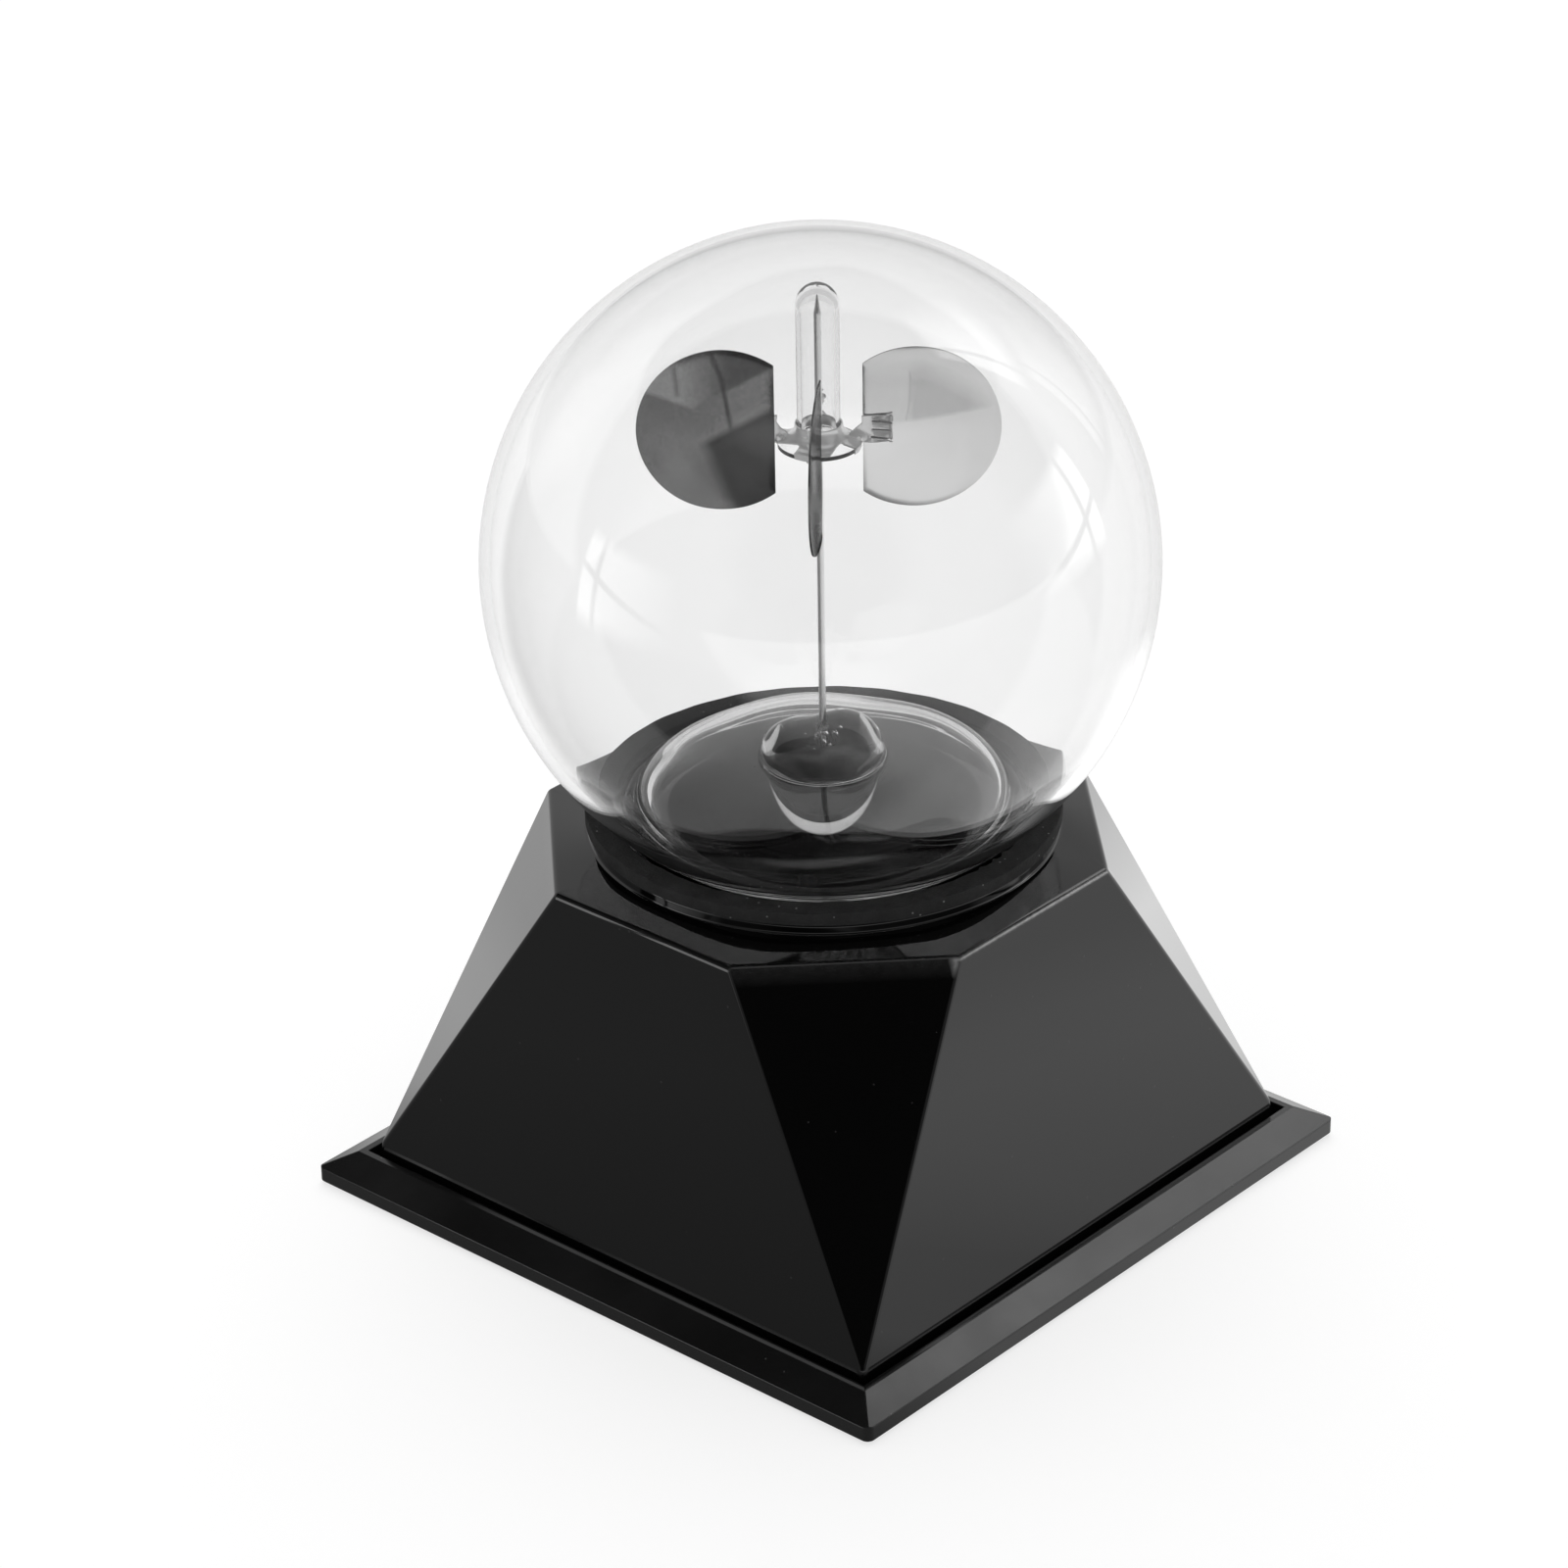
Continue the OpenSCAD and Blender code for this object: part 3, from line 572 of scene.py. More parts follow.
def outer_glass():
    """Sphere, round heel, cushion and below it the melted stub, a drop whose profile is
    r = root cos(a)^0.65, z = top - length sin(a)^1.3."""
    tip_z, root_r, root_gap = tip_low[2], 6.9, 0.4
    heel_mid_r = sqrt((globe_r - heel_round) ** 2 - (globe_z - heel_z) ** 2)
    low = degrees(atan2(heel_z - globe_z, heel_mid_r))
    path = np.vstack([
        arc((0, globe_z), globe_r, 89, low, 110),
        arc((heel_mid_r, heel_z), heel_round, low, -180, 18)[1:],
    ])
    rise = cushion_z - glass_t - heel_z
    bottom = cushion(heel_mid_r - heel_round, heel_z, rise, root_r + root_gap, 44)[::-1]
    a = np.linspace(0.06, pi / 2 - 0.06, 30)
    top = bottom[-1, 0, 2]
    drop = np.stack([root_r * np.cos(a) ** 0.65, top - (top - tip_z) * np.sin(a) ** 1.3], -1)
    rows = np.concatenate([turned(path, GLASS_COLUMNS), bottom[1:], turned(drop, GLASS_COLUMNS)])
    return surface(rows, poles=((0, 0, globe_high[2]), (0, 0, tip_z)))


def lobe_reach(way, centre, radii):
    """Distance from the bead's middle to an ellipsoid along each direction: the larger
    root s of |(s way - centre) / radii| = 1."""
    a = (way / radii) ** 2
    b = -way * centre / radii**2
    c = (centre / radii) ** 2
    a, b, c = a.sum(-1), b.sum(-1), c.sum(-1) - 1
    return (-b + np.sqrt(b * b - a * c)) / a


def bead_rows(foot_r, foot_z, rings):
    """The melted bead, seen from its middle: the smooth larger of two ellipsoids' reach,
    log(mean exp(k s)) / k, drawn in at the foot to the ring where it meets the bottom."""
    middle = np.array([0, 0, cushion_z + 0.3])
    low = atan2(foot_z - middle[2], foot_r)
    up = np.linspace(pi / 2 - 0.03, low, rings)[:, None]
    turn = np.linspace(0, 2 * pi, GLASS_COLUMNS, endpoint=False)[None]

    def directions(azimuth):
        level = np.cos(up)
        ways = [level * np.cos(azimuth), level * np.sin(azimuth), np.sin(up) + 0 * azimuth]
        return np.stack(ways, -1)

    along = directions(turn - (rest_turn + pi))
    high = lobe_reach(along, np.array([2.2, 0.2, -0.2]), np.array([5.4, 6.5, 4.6]))
    lower = lobe_reach(along, np.array([-2.2, -0.3, -0.1]), np.array([5.5, 6.2, 3.7]))
    sharpness = 2.6
    reach = np.log((np.exp(sharpness * high) + np.exp(sharpness * lower)) / 2) / sharpness
    foot = hypot(foot_r, foot_z - middle[2])
    share = np.clip((pi / 2 - up) / (pi / 2 - low), 0, 1) ** 9
    reach = reach * (1 - share) + foot * share
    return middle + directions(turn) * reach[..., None]


def inner_glass():
    """From the top of the bead down to its foot, out over the cushion to its valley, and
    up the inside of the sphere."""
    inner_r, foot_r, valley_z, valley_round = globe_r - glass_t, 7.3, 50.75, 0.35
    valley_r = sqrt(inner_r**2 - (globe_z - valley_z) ** 2) - valley_round
    out = cushion(valley_r, valley_z, cushion_z - valley_z, foot_r, 47)
    low = degrees(atan2(valley_z - globe_z, valley_r + valley_round))
    wall = arc((0, globe_z), inner_r, low + 0.4, 89, 110)
    rows = bead_rows(foot_r, out[0, :, 2].mean(), 64)
    top = (0, 0, rows[0, :, 2].mean() + 0.005)
    rows = np.concatenate([rows, out[1:], turned(wall, GLASS_COLUMNS)])
    return surface(rows, poles=(top, (0, 0, globe_high[2] - glass_t)), solid=-1)


def bubble(centre, radius, lean):
    """A small ball of gas in the melt, drawn out along a leaning axis."""
    a = np.linspace(0.25, pi - 0.25, 9)[:, None]
    b = np.linspace(0, 2 * pi, 14, endpoint=False)[None]
    height = 1.5 * radius
    z = height * np.cos(a) + 0 * b
    x, y = radius * np.sin(a) * np.cos(b) + lean * z, radius * np.sin(a) * np.sin(b)
    top = np.array([lean, 0, 1]) * height
    points, quads, fans, flat = surface(np.stack([x, y, z], -1), poles=(top, -top), solid=-1)
    return points + centre, quads, fans, flat


def bubbles():
    """A chain of bubbles round the needle's foot and a loose few beside it."""
    chain_r, turn, rise, shrink = 0.75, 2.3, 0.3, 0.014
    chain = [(chain_r * cos(turn * i), chain_r * sin(turn * i), 56.6 + rise * i, 0.44 - shrink * i)
             for i in range(14)]
    loose = [(1.6, -0.9, 57.3, 0.34), (1.9, -1.2, 58.2, 0.22), (-1.5, 1.4, 58.0, 0.16),
             (2.2, 0.4, 57.0, 0.2), (-0.4, -1.8, 57.6, 0.18), (0.6, -1.7, 59.0, 0.14),
             (1.2, 1.5, 58.7, 0.15), (-2.4, -0.6, 57.5, 0.13)]
    return [bubble(np.array([x, y, z]), r, 0.3 * sin(7 * z)) for x, y, z, r in chain + loose]


# ---- Spindle cup: a tube closed by a dome and flared to a lip ----
def cup_path():
    """From the outer top down the tube, out along the flare, round the lip and back
    inside to the axis."""
    cup_r, wall, dome_t, lip_r = 2.5, 0.5, 1.2, cup_high[0]
    bore_r = cup_r - wall
    top, low = cup_high[2], cup_low[2]
    flare = lip_r - cup_r
    flare_z = low + wall + flare
    inner_top = top - dome_t
    return np.vstack([
        arc((0, top - cup_r), cup_r, 86, 0, 20),
        arc((lip_r, flare_z), flare, 180, 270, 18),
        arc((lip_r, flare_z), flare + wall, 270, 180, 18),
        arc((0, inner_top - bore_r), bore_r, 0, 86, 18),
    ]), (0, 0, top), (0, 0, inner_top)


def spindle_cup():
    """The cup's path carried round the axis."""
    path, top, inner = cup_path()
    return surface(turned(path, 96), poles=(top, inner))


# ---- Vanes: shallow pans with one straight side ----
VANE_ARC, VANE_CHORD = 112, 44
vane_inner, vane_chord, vane_r = 5.1, 6.0, 10
lean_from = 8.7  # distance from the axis where the vanes' lean begins
vane_centre_z = (vane_low[2] + vane_high[2]) / 2


def pan_outline(radius, chord):
    """A circle from its lower corner round the far end to its upper corner, then the
    straight side back."""
    a = acos(-chord / radius)
    turn = np.linspace(-a, a, VANE_ARC)
    side = np.linspace(sin(a), -sin(a), VANE_CHORD + 2)[1:-1] * radius
    return np.vstack([
        np.stack([radius * np.cos(turn), radius * np.sin(turn)], -1),
        np.stack([0 * side - chord, side], -1),
    ])


def sheet_wave(u, w, seed):
    """Gentle dents of hand-worked sheet: a sum of three slow sine waves."""
    a = np.sin(0.42 * u + 0.23 * w + seed) + np.sin(-0.2 * u + 0.47 * w + 2.1 * seed)
    return 0.045 * a + 0.02 * np.sin(0.9 * u - 0.6 * w + 3.7 * seed)


def step(value, soft):
    """0 to 1 over soft millimetres on both sides of nought."""
    return np.clip(value / (2 * soft) + 0.5, 0, 1)


def painted_line(u, w, points, width):
    """1 on a line through points, falling to 0 over its width: the least distance to
    its stretches."""
    least = np.full(np.shape(u), 99.0)
    for (u0, w0), (u1, w1) in zip(points, points[1:]):
        along = (u1 - u0) ** 2 + (w1 - w0) ** 2
        t = np.clip(((u - u0) * (u1 - u0) + (w - w0) * (w1 - w0)) / along, 0, 1)
        least = np.minimum(least, np.hypot(u - u0 - t * (u1 - u0), w - w0 - t * (w1 - w0)))
    return np.clip(1 - least / width, 0, 1)


def black_painted_tone(name, u, w, seed):
    """How pale the blackened side is, at u outward and w upward from the disc's middle, in
    painted reflections. On the left vane the reflection changes by soft steps, with a painted
    glow and a dark corner, and two dark lines run across it; the front vane is paler towards
    its top, and the others have slow waves."""
    if name == "vane_front":
        return 0.03 + 0.05 * step(w - 1, 4)
    if name != "vane_left":
        clouds = 0.08 * np.sin(0.5 * u + 0.35 * w + seed)
        return 0.16 + clouds + 0.05 * np.sin(0.9 * w - 0.4 * u + 2 * seed)
    # Painted reflection: a soft step where the mirrored scene changes, a dark corner and a glow.
    reflection_step = np.maximum(2.8 + 0.395 * (u - 3.5), 2.8 - 0.529 * (u - 3.5))
    upper = step(w - reflection_step, 0.25)
    corner = step(-0.5 - 0.51 * (u - 0.3) - w, 0.5) * step(2.2 + 0.375 * (w + 1.7) - u, 0.9)
    glow = np.exp(-((u - 5.2) ** 2 + (w + 3.5) ** 2) / 16)
    base = 0.28 + 0.1 * step(-u, 3) + 0.1 * glow
    tone = base * (1 - upper) + (0.13 + 0.45 * step(u - 2, 3)) * upper
    tone = tone * (1 - corner) + 0.01 * corner
    # Two dark lines of painted reflection.
    lines = painted_line(u, w, [(1.1, 9.4), (0.0, 6.4), (-1.0, 0.0)], 0.4)
    lines = lines + 0.7 * painted_line(u, w, [(5.4, 7.6), (5.1, 4.5)], 0.35)
    return tone * (1 - 0.8 * np.clip(lines, 0, 1))


def bright_painted_tone(name, u, w, seed):
    """How bright the silver side is, in painted reflections: on the right vane a darker cloud
    with a step, a dark line and a darker band near the top; slow waves on the rest.
    """
    if name != "vane_right":
        return 0.85 + 0.1 * np.sin(0.6 * u - 0.3 * w + seed)
    # Painted reflection: a darker cloud with a step, a dark line and a darker band near the top.
    dim_reflection = step(w - (0.5 + 0.18 * (u + 2)), 0.35) * step(7.3 - 0.5 * np.maximum(u - 1, 0) - w, 1.6)
    dim_reflection = dim_reflection * (0.55 + 0.45 * step(u + 0.5, 0.4)) * step(8.5 - u, 2.5)
    line = painted_line(u, w, [(-0.5, 7.0), (-0.6, 3.5), (-1.0, 0.8)], 0.2)
    return 1 - 0.55 * dim_reflection - 0.25 * line - 0.12 * step(2.5 - abs(w - 8.5), 1.5)


def vane(name, turn, seed, twist):
    """Bright side from its middle out over the rim, then the black side back to its
    middle. The black side is the hollow one: the rim rises by height k^1.7. Beyond the
    spider's tab the sheet leans off its plane by twist for each millimetre. turn is the
    vane's angle from the left one, and seed sets its waves."""
    t, rim_w, rim_h, inset = 0.2, 1.0, 0.12, 0.985
    shares = np.linspace(0.02, inset, 32)
    floor = pan_outline(vane_r - rim_w, vane_chord - rim_w)
    rim = pan_outline(vane_r, vane_chord)
    bend = np.linspace(0, 1, 7)
    rows = [(-t / 2, floor * s) for s in shares]
    rows += [(-t / 2 + rim_h * k**1.7, floor + (rim - floor) * k) for k in bend]
    outside = len(rows)
    rows += [(t / 2 + rim_h * k**1.7, floor + (rim - floor) * k * inset) for k in bend[::-1]]
    rows += [(t / 2, floor * s) for s in shares[::-1]]
    across = np.array([np.full(len(o), y) for y, o in rows])
    u, w = np.array([o[:, 0] for _, o in rows]), np.array([o[:, 1] for _, o in rows])
    reach = u + vane_inner + vane_chord
    across = across + sheet_wave(u, w, seed) - twist * np.maximum(reach - lean_from, 0)
    black_side = np.arange(len(rows))[:, None] >= outside
    # How pale each side is, in painted reflections, goes on the mesh for the sheets to read.
    tone = np.where(black_side, black_painted_tone(name, u, w, seed), bright_painted_tone(name, u, w, seed)).ravel()
    tone = np.append(tone, [tone[:VANE_ARC].mean(), tone[-VANE_ARC:].mean()])
    angle = rest_turn + turn
    x = reach * cos(angle) - across * sin(angle)
    y = reach * sin(angle) + across * cos(angle)
    grid = np.stack([x, y, w + vane_centre_z], -1)

    def middle(offset):
        r = vane_inner + vane_chord
        d = offset + sheet_wave(0.0, 0.0, seed) - twist * (r - lean_from)
        return (r * cos(angle) - d * sin(angle), r * sin(angle) + d * cos(angle), vane_centre_z)

    part = surface(grid, poles=(middle(-t / 2), middle(t / 2)))
    columns = grid.shape[1]
    sides = np.repeat(np.arange(len(rows) - 1) >= outside - 1, columns).astype(int).tolist()
    sides += [0] * columns + [1] * columns
    made = piece(name + "_sheet", [part], [bright, dark], "rotor", [name],
                 sharp=28, sides=sides)
    marked(made, "tone", tone)


# ---- Foam ring with a torn inner edge ----
def seat_ring():
    """A square section carried round, its edges softened. The inner edge wanders by a
    sum of sine waves, and a few flakes stick out of it where the hole was cut."""
    columns = 720
    a = np.linspace(0, 2 * pi, columns, endpoint=False)
    outer_r, low, high = ring_high[0], ring_low[2], ring_high[2]
    ring_w, soft = 3, 0.12
    bore_r = outer_r - ring_w
    path = np.vstack([
        arc((outer_r - soft, high - soft), soft, 90, 0, 5),
        arc((outer_r - soft, low + soft), soft, 0, -90, 5),
        arc((bore_r + soft, low + soft), soft, -90, -180, 5),
        arc((bore_r + soft, high - soft), soft, 180, 90, 5),
        [[bore_r + 0.8, high], [bore_r + 1.6, high + 0.03], [bore_r + 2.2, high]],
    ])
    rows = turned(path, columns)
    wander = 0.05 * np.sin(7 * a + 1) + 0.04 * np.sin(17 * a + 2)
    wander = wander + 0.03 * np.sin(41 * a) + 0.02 * np.sin(97 * a)
    flake_places = ((-1.62, 0.018), (-1.53, 0.012), (-1.45, 0.02), (-2.9, 0.014), (0.6, 0.016))
    flakes = 0 * a
    for at, wide in flake_places:
        aside = (a - at + pi) % (2 * pi) - pi
        flakes = flakes + 0.35 * np.exp(-(aside / wide) ** 4)
    inner = np.clip((bore_r + 0.6 - np.hypot(rows[..., 0], rows[..., 1])) / 0.5, 0, 1)
    pull = inner * (wander - flakes)
    rows[..., 0] += pull * np.cos(a)
    rows[..., 1] += pull * np.sin(a)
    upper = np.clip((rows[..., 2] - low) / (high - low), 0, 1)
    rows[..., 2] += upper * 0.03 * (np.sin(13 * a + 0.5) + np.sin(29 * a + 1.5)) - 0.02 * upper
    return surface(rows, closed=True)


# ---- Plate and star: the solids' own forms, softened or crumpled ----
def merged_copy(node, flat_angle=None):
    """A copy of a solid's mesh with its doubled corners joined, and its faces too where
    they meet at less than flat_angle."""
    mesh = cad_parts[node].data.copy()
    work = bmesh.new()
    work.from_mesh(mesh)
    bmesh.ops.remove_doubles(work, verts=work.verts, dist=2e-6)
    if flat_angle is not None:
        bmesh.ops.dissolve_limit(work, angle_limit=flat_angle, verts=work.verts, edges=work.edges)
    work.to_mesh(mesh)
    work.free()
    return mesh


def standing_in(name, mesh, finish, node, body):
    """A smooth piece of one finish that rides on a body in a solid's place."""
    mesh.materials.clear()
    mesh.materials.append(finish)
    mesh.polygons.foreach_set("use_smooth", [True] * len(mesh.polygons))
    made = linked(name, mesh)
    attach(made, body)
    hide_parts(node)
    return made


def softened(node, name, finish, body, width):
    """A merged copy of a solid, with its flat faces joined and every edge over 30
    degrees rounded by a bevel."""
    mesh = merged_copy(node, radians(0.5))
    mesh.name = name
    made = standing_in(name, mesh, finish, node, body)
    mesh.set_sharp_from_angle(angle=radians(30))
    bevel = made.modifiers.new("soft_edges", "BEVEL")
    bevel.width = width * MM
    bevel.segments = 3
    bevel.limit_method = "ANGLE"
    bevel.angle_limit = radians(30)
    bevel.harden_normals = True


def crumpled(node, name, finish, body, grain, depth):
    """A solid's form in an even mesh of small faces, with its edges a little round, and
    dented by three waves: depth (sin(a . p) + sin(b . p) + sin(c . p)) / 3 along each axis,
    less so beside the vanes and not at all on the tube. The ends of the arms curl off the
    vanes by 0.55 t^1.4 (1 + 0.75 sin(3.3 z)), where t is the share of the tab's length."""
    rough = linked(name + "_rough", merged_copy(node))
    even = rough.modifiers.new("even", "REMESH")
    even.mode = "VOXEL"
    even.voxel_size = grain * MM
    shaped = rough.evaluated_get(bpy.context.evaluated_depsgraph_get())
    fine = bpy.data.meshes.new_from_object(shaped)
    bpy.data.objects.remove(rough)
    count = len(fine.vertices)
    p = np.empty(count * 3)
    fine.vertices.foreach_get("co", p)
    p = p.reshape(-1, 3) / MM
    waves = np.array([[[1.9, 0.7, 1.3], [-0.8, 2.3, 0.9], [1.1, -1.7, 2.1]],
                      [[2.2, -1.1, 0.6], [0.5, 1.6, -2.0], [-1.9, 0.9, 1.2]],
                      [[1.3, 1.8, -0.9], [-2.1, 0.4, 1.5], [0.9, -1.4, -1.8]]])
    dent = np.stack([np.sin(p @ waves[i].T + i).mean(1) for i in range(3)], -1)
    tube_r, tab_from, tab_length = 2.7, 0.7, 2.5
    star_r = hypot(vane_inner + 3.5, 1)
    radius = np.hypot(p[:, 0], p[:, 1])[:, None]
    away = np.clip((radius - tube_r) / 1.5, 0, 1)
    calm = np.where(radius / star_r > 0.72, 0.7, 1)
    p = p + depth * away * dent * [1, 1, 0.7] * calm
    arm = np.round((np.arctan2(p[:, 1], p[:, 0]) - rest_turn) / (pi / 2)) * pi / 2 + rest_turn
    reach = p[:, 0] * np.cos(arm) + p[:, 1] * np.sin(arm)
    share = np.clip((reach - vane_inner - tab_from) / tab_length, 0, 1) ** 1.4
    curl = 0.55 * share * (1 + 0.75 * np.sin(3.3 * p[:, 2] + 1.3 * arm))
    p[:, 0] += curl * np.sin(arm)
    p[:, 1] -= curl * np.cos(arm)
    p[:, 2] += 0.25 * share * np.sin(2.1 * p[:, 2] + arm)
    fine.vertices.foreach_set("co", (p * MM).ravel())
    fine.update()
    standing_in(name, fine, finish, node, body)


def build_pieces():
    """Every visible piece, riding on its body, and the finishes of the plain solids."""
    crumpled("vane_spider", "spider_sheet", spider, "rotor", grain=0.085,
             depth=0.16)
    body = base_body()
    moulding = piece("body_moulding", [body], [body_black], "stand", ["base_body"])
    # Slight edge wear and a painted highlight on the top edge, as a number the plastic reads.
    marked(moulding, "wear_and_highlight", edge_wear_and_highlight(body))
    softened("base_plate", "plate_moulding", plate_black, "stand", width=0.18)
    piece("foam_ring", [seat_ring()], [foam], "stand", ["seat_ring"], sharp=50)
    piece("globe_melt", [outer_glass(), inner_glass()] + bubbles(), [globe_glass], "stand",
          ["globe", "exhaust_tip", "needle_bead"])
    piece("cup_glass_tube", [spindle_cup()], [cup_glass], "rotor", ["spindle_cup"],
          sharp=40)
    vane("vane_left", turn=0, seed=1.3, twist=0.01)
    vane("vane_front", turn=pi / 2, seed=4.2, twist=0.125)
    vane("vane_right", turn=pi, seed=2.6, twist=0.015)
    vane("vane_back", turn=3 * pi / 2, seed=5.9, twist=-0.02)
    for node in ("foot_front", "foot_right", "foot_back", "foot_left"):
        finish_node(node, rubber)
    finish_node("base_screws", screw_steel)
    finish_node("pivot_needle", needle_steel)


# ---- Studio ----
def reflected(tree):
    """0 on rays that come straight from the camera or only through glass, 1 on rays that
    a glossy surface has turned back."""
    depth = add(tree, "ShaderNodeLightPath").outputs["Glossy Depth"]
    return maths(tree, "MINIMUM", depth, 1.0)


def studio_world():
    """White all round. In reflections only the backdrop behind the object is pale, up to
    61 degrees, and the ceiling towards the camera. The room is dim to the sides of the
    photographer, and dark where they stand and straight above."""
    backdrop_top = 61
    world = bpy.data.worlds.new("studio")
    bpy.context.scene.world = world
    world.use_nodes = True
    tree = world.node_tree
    tree.nodes.clear()
    way = add(tree, "ShaderNodeTexCoord").outputs["Generated"]
    height = add(tree, "ShaderNodeSeparateXYZ", {"Vector": way}).outputs["Z"]
    behind = dot(tree, way, -view_side)
    wall_top = maths(tree, "MULTIPLY", behind, tan(radians(backdrop_top)))
    below = maths(tree, "SUBTRACT", wall_top, height)
    wall = ramp(tree, below, -0.01, 0.02, 0.02, 0.78)
    front = ramp(tree, behind, -0.12, -0.28, 0.0, 1.0)
    high = ramp(tree, height, 0.78, 0.9, 0.0, 0.8)
    photographer = dot(tree, way, view_side * view_level + UP * view_up)
    aside = ramp(tree, photographer, 0.82, 0.93, 0.3, 0.0)
    side = maths(tree, "MAXIMUM", aside, high)
    ceiling = maths(tree, "MULTIPLY", front, side)
    room = maths(tree, "MAXIMUM", wall, ceiling)
    seen = ramp(tree, reflected(tree), 0.0, 1.0, 1.0, 0.0)
    mirrored = maths(tree, "MULTIPLY", room, reflected(tree))
    strength = maths(tree, "ADD", seen, mirrored)
    diffuse = add(tree, "ShaderNodeLightPath").outputs["Is Diffuse Ray"]
    level = add(tree, "ShaderNodeMix", {0: diffuse, 2: strength, 3: 0.6}, data_type="FLOAT")
    background = add(tree, "ShaderNodeBackground", {"Strength": level.outputs[0]}).outputs[0]
    finished(tree, background, "ShaderNodeOutputWorld")


def panel(name, corners, finish):
    """One flat panel of the studio."""
    mesh = bpy.data.meshes.new(name)
    mesh.from_pydata(corners, [], [(0, 1, 2, 3)])
    mesh.materials.append(finish)
    made = linked(name, mesh)
    return made


def studio_floor():
    """Pale floor. Straight on it is a lit white. In reflections it shows painted light and
    shade: a painted shadow dims it close to the base, painted shade most of all to its
    left, and painted daylight brightens it to the right behind it."""
    made, tree = empty_material("floor_white")
    place = add(tree, "ShaderNodeTexCoord").outputs["Object"]
    split = add(tree, "ShaderNodeSeparateXYZ", {"Vector": place})
    # Painted shade on the reflected floor: dark to the left of the base, except in front of it.
    left = ramp(tree, split.outputs["X"], -0.045, -0.02, 0.3, 1.1)
    shaded = ramp(tree, split.outputs["Y"], -0.1, -0.05, 1.0, 0.0)
    painted_shade = maths(tree, "MAXIMUM", left, shaded)
    reach = add(tree, "ShaderNodeVectorMath", {0: place}, operation="LENGTH").outputs["Value"]
    # Painted shadow: the reflected floor is dimmer close to the base.
    near = ramp(tree, reach, 0.045, 0.13, 0.62, 0.84)
    toward = add(tree, "ShaderNodeVectorMath", {0: place}, operation="NORMALIZE").outputs["Vector"]

    def glow_at(azimuth, start, full, gain):
        """0 to gain as the cosine to one direction from the middle goes from start to full."""
        aim = (cos(radians(azimuth)), sin(radians(azimuth)), 0.0)
        share = dot(tree, toward, aim)
        return ramp(tree, share, start, full, 0.0, gain)

    # Painted daylight: brighter patches in a few directions, within about 0.16 m of the middle.
    painted_daylight = glow_at(-8, 0.9, 0.98, 0.6)
    for azimuth, start, full, gain in ((-52, 0.8, 0.95, 0.18), (100, 0.88, 0.97, 0.22)):
        painted_daylight = maths(tree, "MAXIMUM", painted_daylight, glow_at(azimuth, start, full, gain))
    painted_daylight = maths(tree, "MULTIPLY", painted_daylight, ramp(tree, reach, 0.11, 0.16, 1.0, 0.0))
    glow = maths(tree, "ADD", painted_daylight, 1.0)
    dim = maths(tree, "MULTIPLY", painted_shade, near)
    level = maths(tree, "MULTIPLY", dim, glow)
    lit = add(tree, "ShaderNodeBsdfDiffuse", {"Color": grey(0.36)}).outputs[0]
    diffuse = add(tree, "ShaderNodeLightPath").outputs["Is Diffuse Ray"]
    lift_level = ramp(tree, diffuse, 0.0, 1.0, 0.73, 0.0)
    lift = add(tree, "ShaderNodeEmission", {"Strength": lift_level}).outputs[0]
    straight = add(tree, "ShaderNodeAddShader", {0: lit, 1: lift}).outputs[0]
    mirrored = add(tree, "ShaderNodeEmission", {"Strength": level}).outputs[0]
    mixed = add(tree, "ShaderNodeMixShader", {0: reflected(tree), 1: straight, 2: mirrored})
    finished(tree, mixed.outputs[0])
    size = 4.0
    panel("floor", [(-size, -size, 0), (size, -size, 0), (size, size, 0), (-size, size, 0)], made)


def lamp(name, azimuth, elevation, distance, size, power):
    """A rectangular lamp that looks at the globe from an azimuth and elevation in degrees.
    Neither the camera nor glass or a reflection shows it."""
    data = bpy.data.lights.new(name, "AREA")
    data.shape = "RECTANGLE"
    data.size, data.size_y = size
    data.energy = power
    made = linked(name, data)
    a, e = radians(azimuth), radians(elevation)
    way = Vector((cos(a) * cos(e), sin(a) * cos(e), sin(e)))
    made.location = Vector((0, 0, 0.08)) + way * distance
    made.rotation_mode = "QUATERNION"
    made.rotation_quaternion = way.to_track_quat("Z", "Y")
    made.visible_camera = False
    made.visible_transmission = False
    made.visible_glossy = False


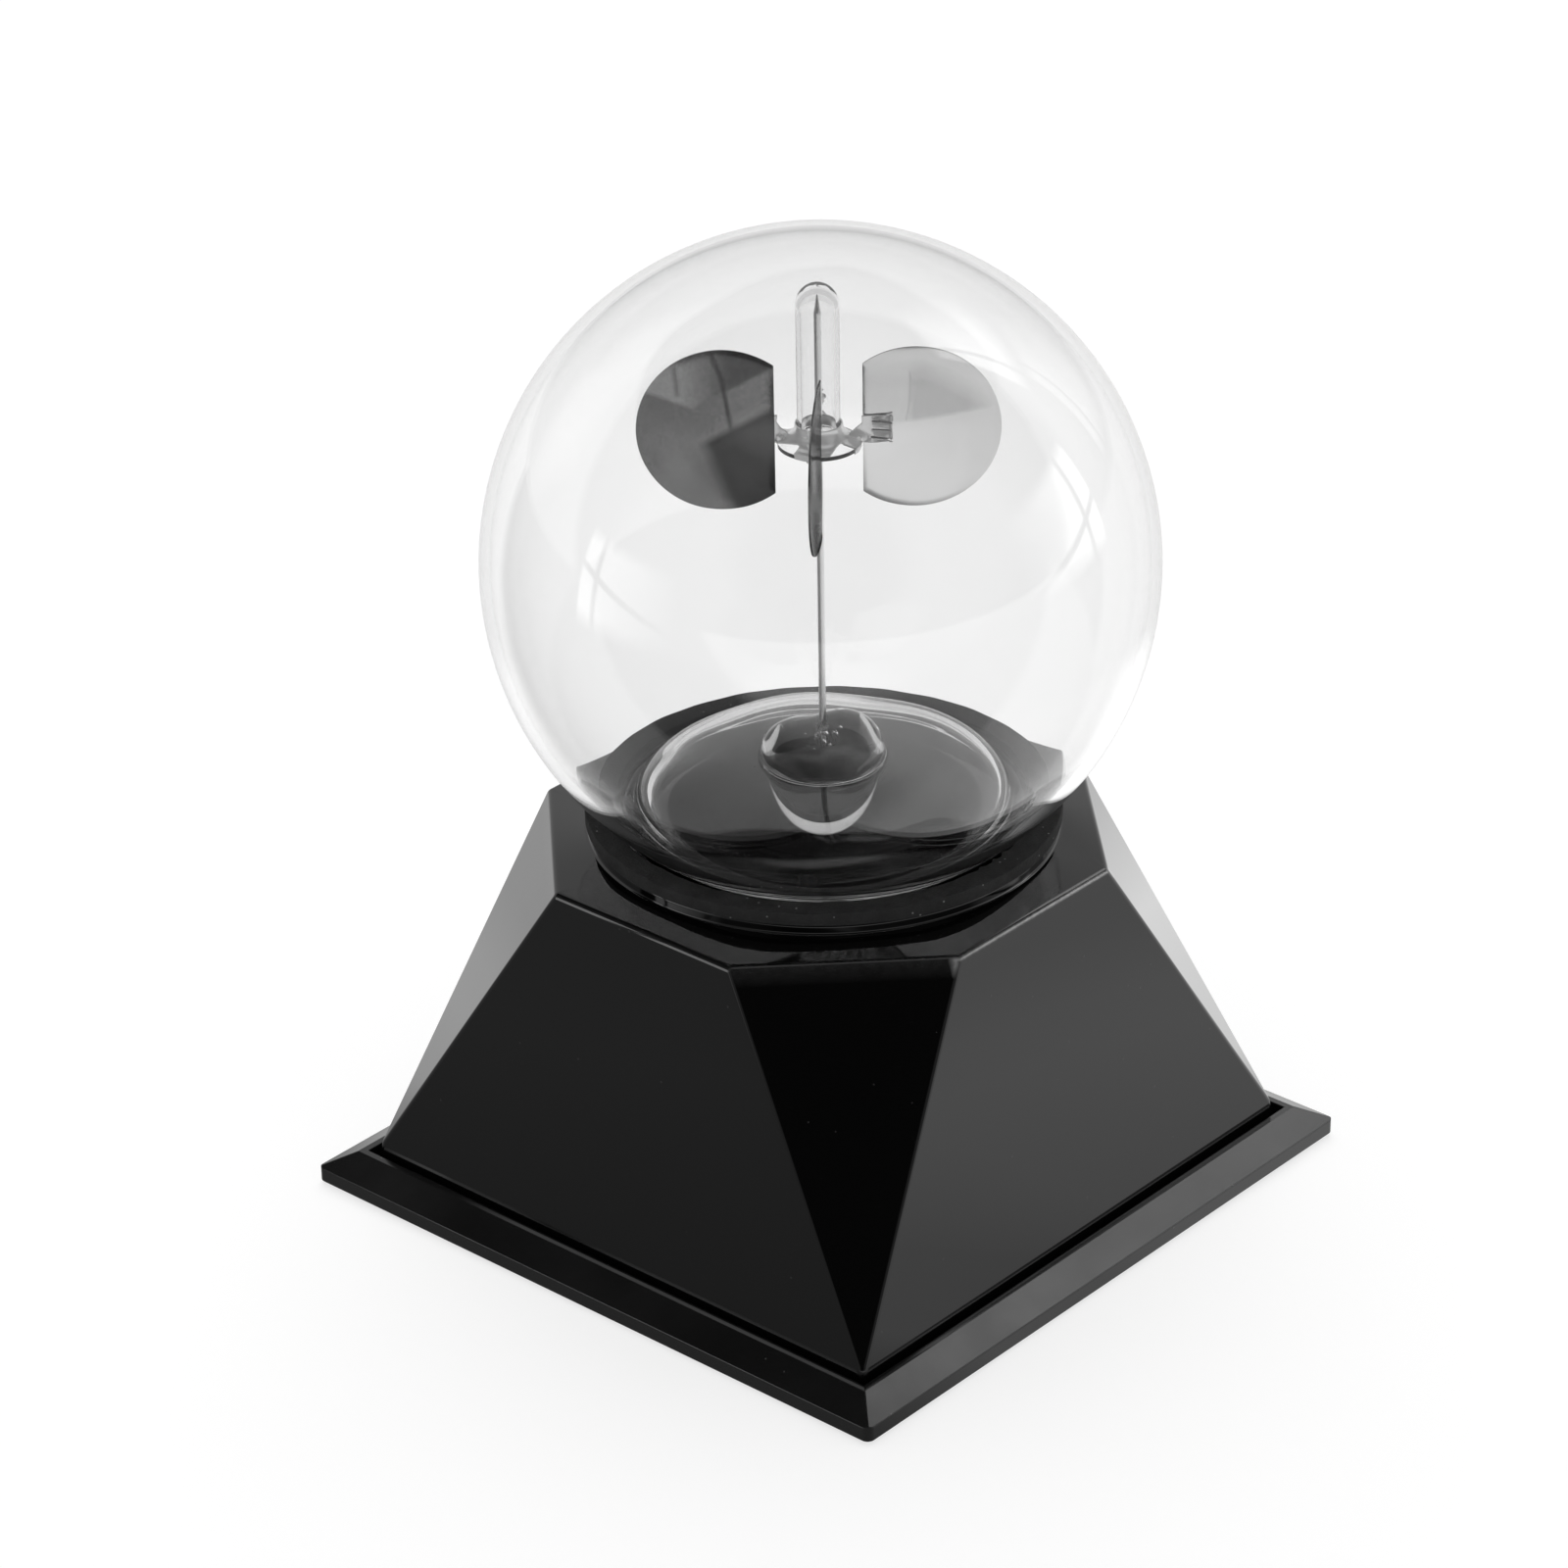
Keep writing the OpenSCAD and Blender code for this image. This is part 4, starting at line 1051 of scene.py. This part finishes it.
def window(name, start, end, low, high, strength, bar):
    """A window that only reflections show: an upright panel between two places on the
    floor. Its UV runs from start to end and from low to high. The light falls off
    towards its end and is added to what lies behind. Bars divide it into panes: one
    slants across it at the height bar, where 2 is past its top."""
    made, tree = empty_material(name)
    uv = add(tree, "ShaderNodeUVMap", uv_map="pane").outputs["UV"]
    split = add(tree, "ShaderNodeSeparateXYZ", {"Vector": uv})
    across, up = split.outputs["X"], split.outputs["Y"]

    def times(first, second):
        return maths(tree, "MULTIPLY", first, second)

    def off(value, centre, half, soft):
        """0 on a bar, 1 away from it."""
        away = maths(tree, "ABSOLUTE", maths(tree, "SUBTRACT", value, centre))
        return ramp(tree, away, half, half + soft, 0.0, 1.0)

    light = times(ramp(tree, across, 0.0, 0.04, 0.0, 1.0), ramp(tree, across, 0.25, 1.0, 1.0, 0.0))
    fade = times(ramp(tree, up, 0.0, 0.2, 0.0, 1.0), ramp(tree, up, 0.85, 1.0, 1.0, 0.0))
    slanted = maths(tree, "MULTIPLY_ADD", across, 0.35, up)
    bars = times(off(slanted, bar, 0.02, 0.03), off(across, 0.2, 0.01, 0.03))
    light = times(times(light, fade), bars)
    shine = add(tree, "ShaderNodeEmission", {"Strength": times(light, strength)}).outputs[0]
    clear = add(tree, "ShaderNodeBsdfTransparent").outputs[0]
    both = add(tree, "ShaderNodeAddShader", {0: shine, 1: clear}).outputs[0]
    finished(tree, both)
    (x0, y0), (x1, y1) = start, end
    pane = panel(name, [(x0, y0, low), (x1, y1, low), (x1, y1, high), (x0, y0, high)], made)
    pane.data.uv_layers.new(name="pane").data.foreach_set("uv", [0, 0, 1, 0, 1, 1, 0, 1])
    pane.visible_camera = pane.visible_diffuse = pane.visible_shadow = False
    pane.visible_transmission = False


def studio_lamps():
    """Daylight for the reflections, and a soft lamp overhead for the rest."""
    window("window_left", start=(-0.312, 0.281), end=(-0.418, 0.037), low=0.0, high=0.19,
           strength=2.8, bar=0.62)
    window("window_right", start=(0.36, -0.22), end=(0.13, -0.40), low=0.05, high=0.25,
           strength=3.4, bar=0.4)
    window("window_back", start=(0.92, -0.24), end=(0.88, 0.12), low=0.1, high=0.6,
           strength=0.9, bar=2.0)
    window("window_high", start=(0.92, -0.35), end=(0.90, 0.20), low=0.6, high=1.5,
           strength=2.6, bar=2.0)
    lamp("overhead", azimuth=40, elevation=68, distance=1.1, size=(0.8, 0.8), power=5.5)


def camera():
    """The photograph's place, direction, roll and angle of view."""
    right = Vector((0.658903, -0.752100, -0.015100))
    above = Vector((0.361007, 0.298606, 0.883517))
    turned_to = Matrix((right, above, right.cross(above))).transposed()
    focal_pixels, image_pixels, sensor = 5799.857, 1600, 36.0
    data = bpy.data.cameras.new("camera")
    data.sensor_width = sensor
    data.lens = focal_pixels / image_pixels * sensor
    data.clip_start, data.clip_end = 0.01, 50
    made = linked("camera", data)
    made.rotation_mode = "QUATERNION"
    made.location = Vector((-451.30, -395.51, 370.52)) * MM
    made.rotation_quaternion = turned_to.to_quaternion()
    bpy.context.scene.camera = made


camera()
studio_world()
studio_floor()
studio_lamps()
build_pieces()
bpy.context.scene.view_settings.view_transform = "Standard"
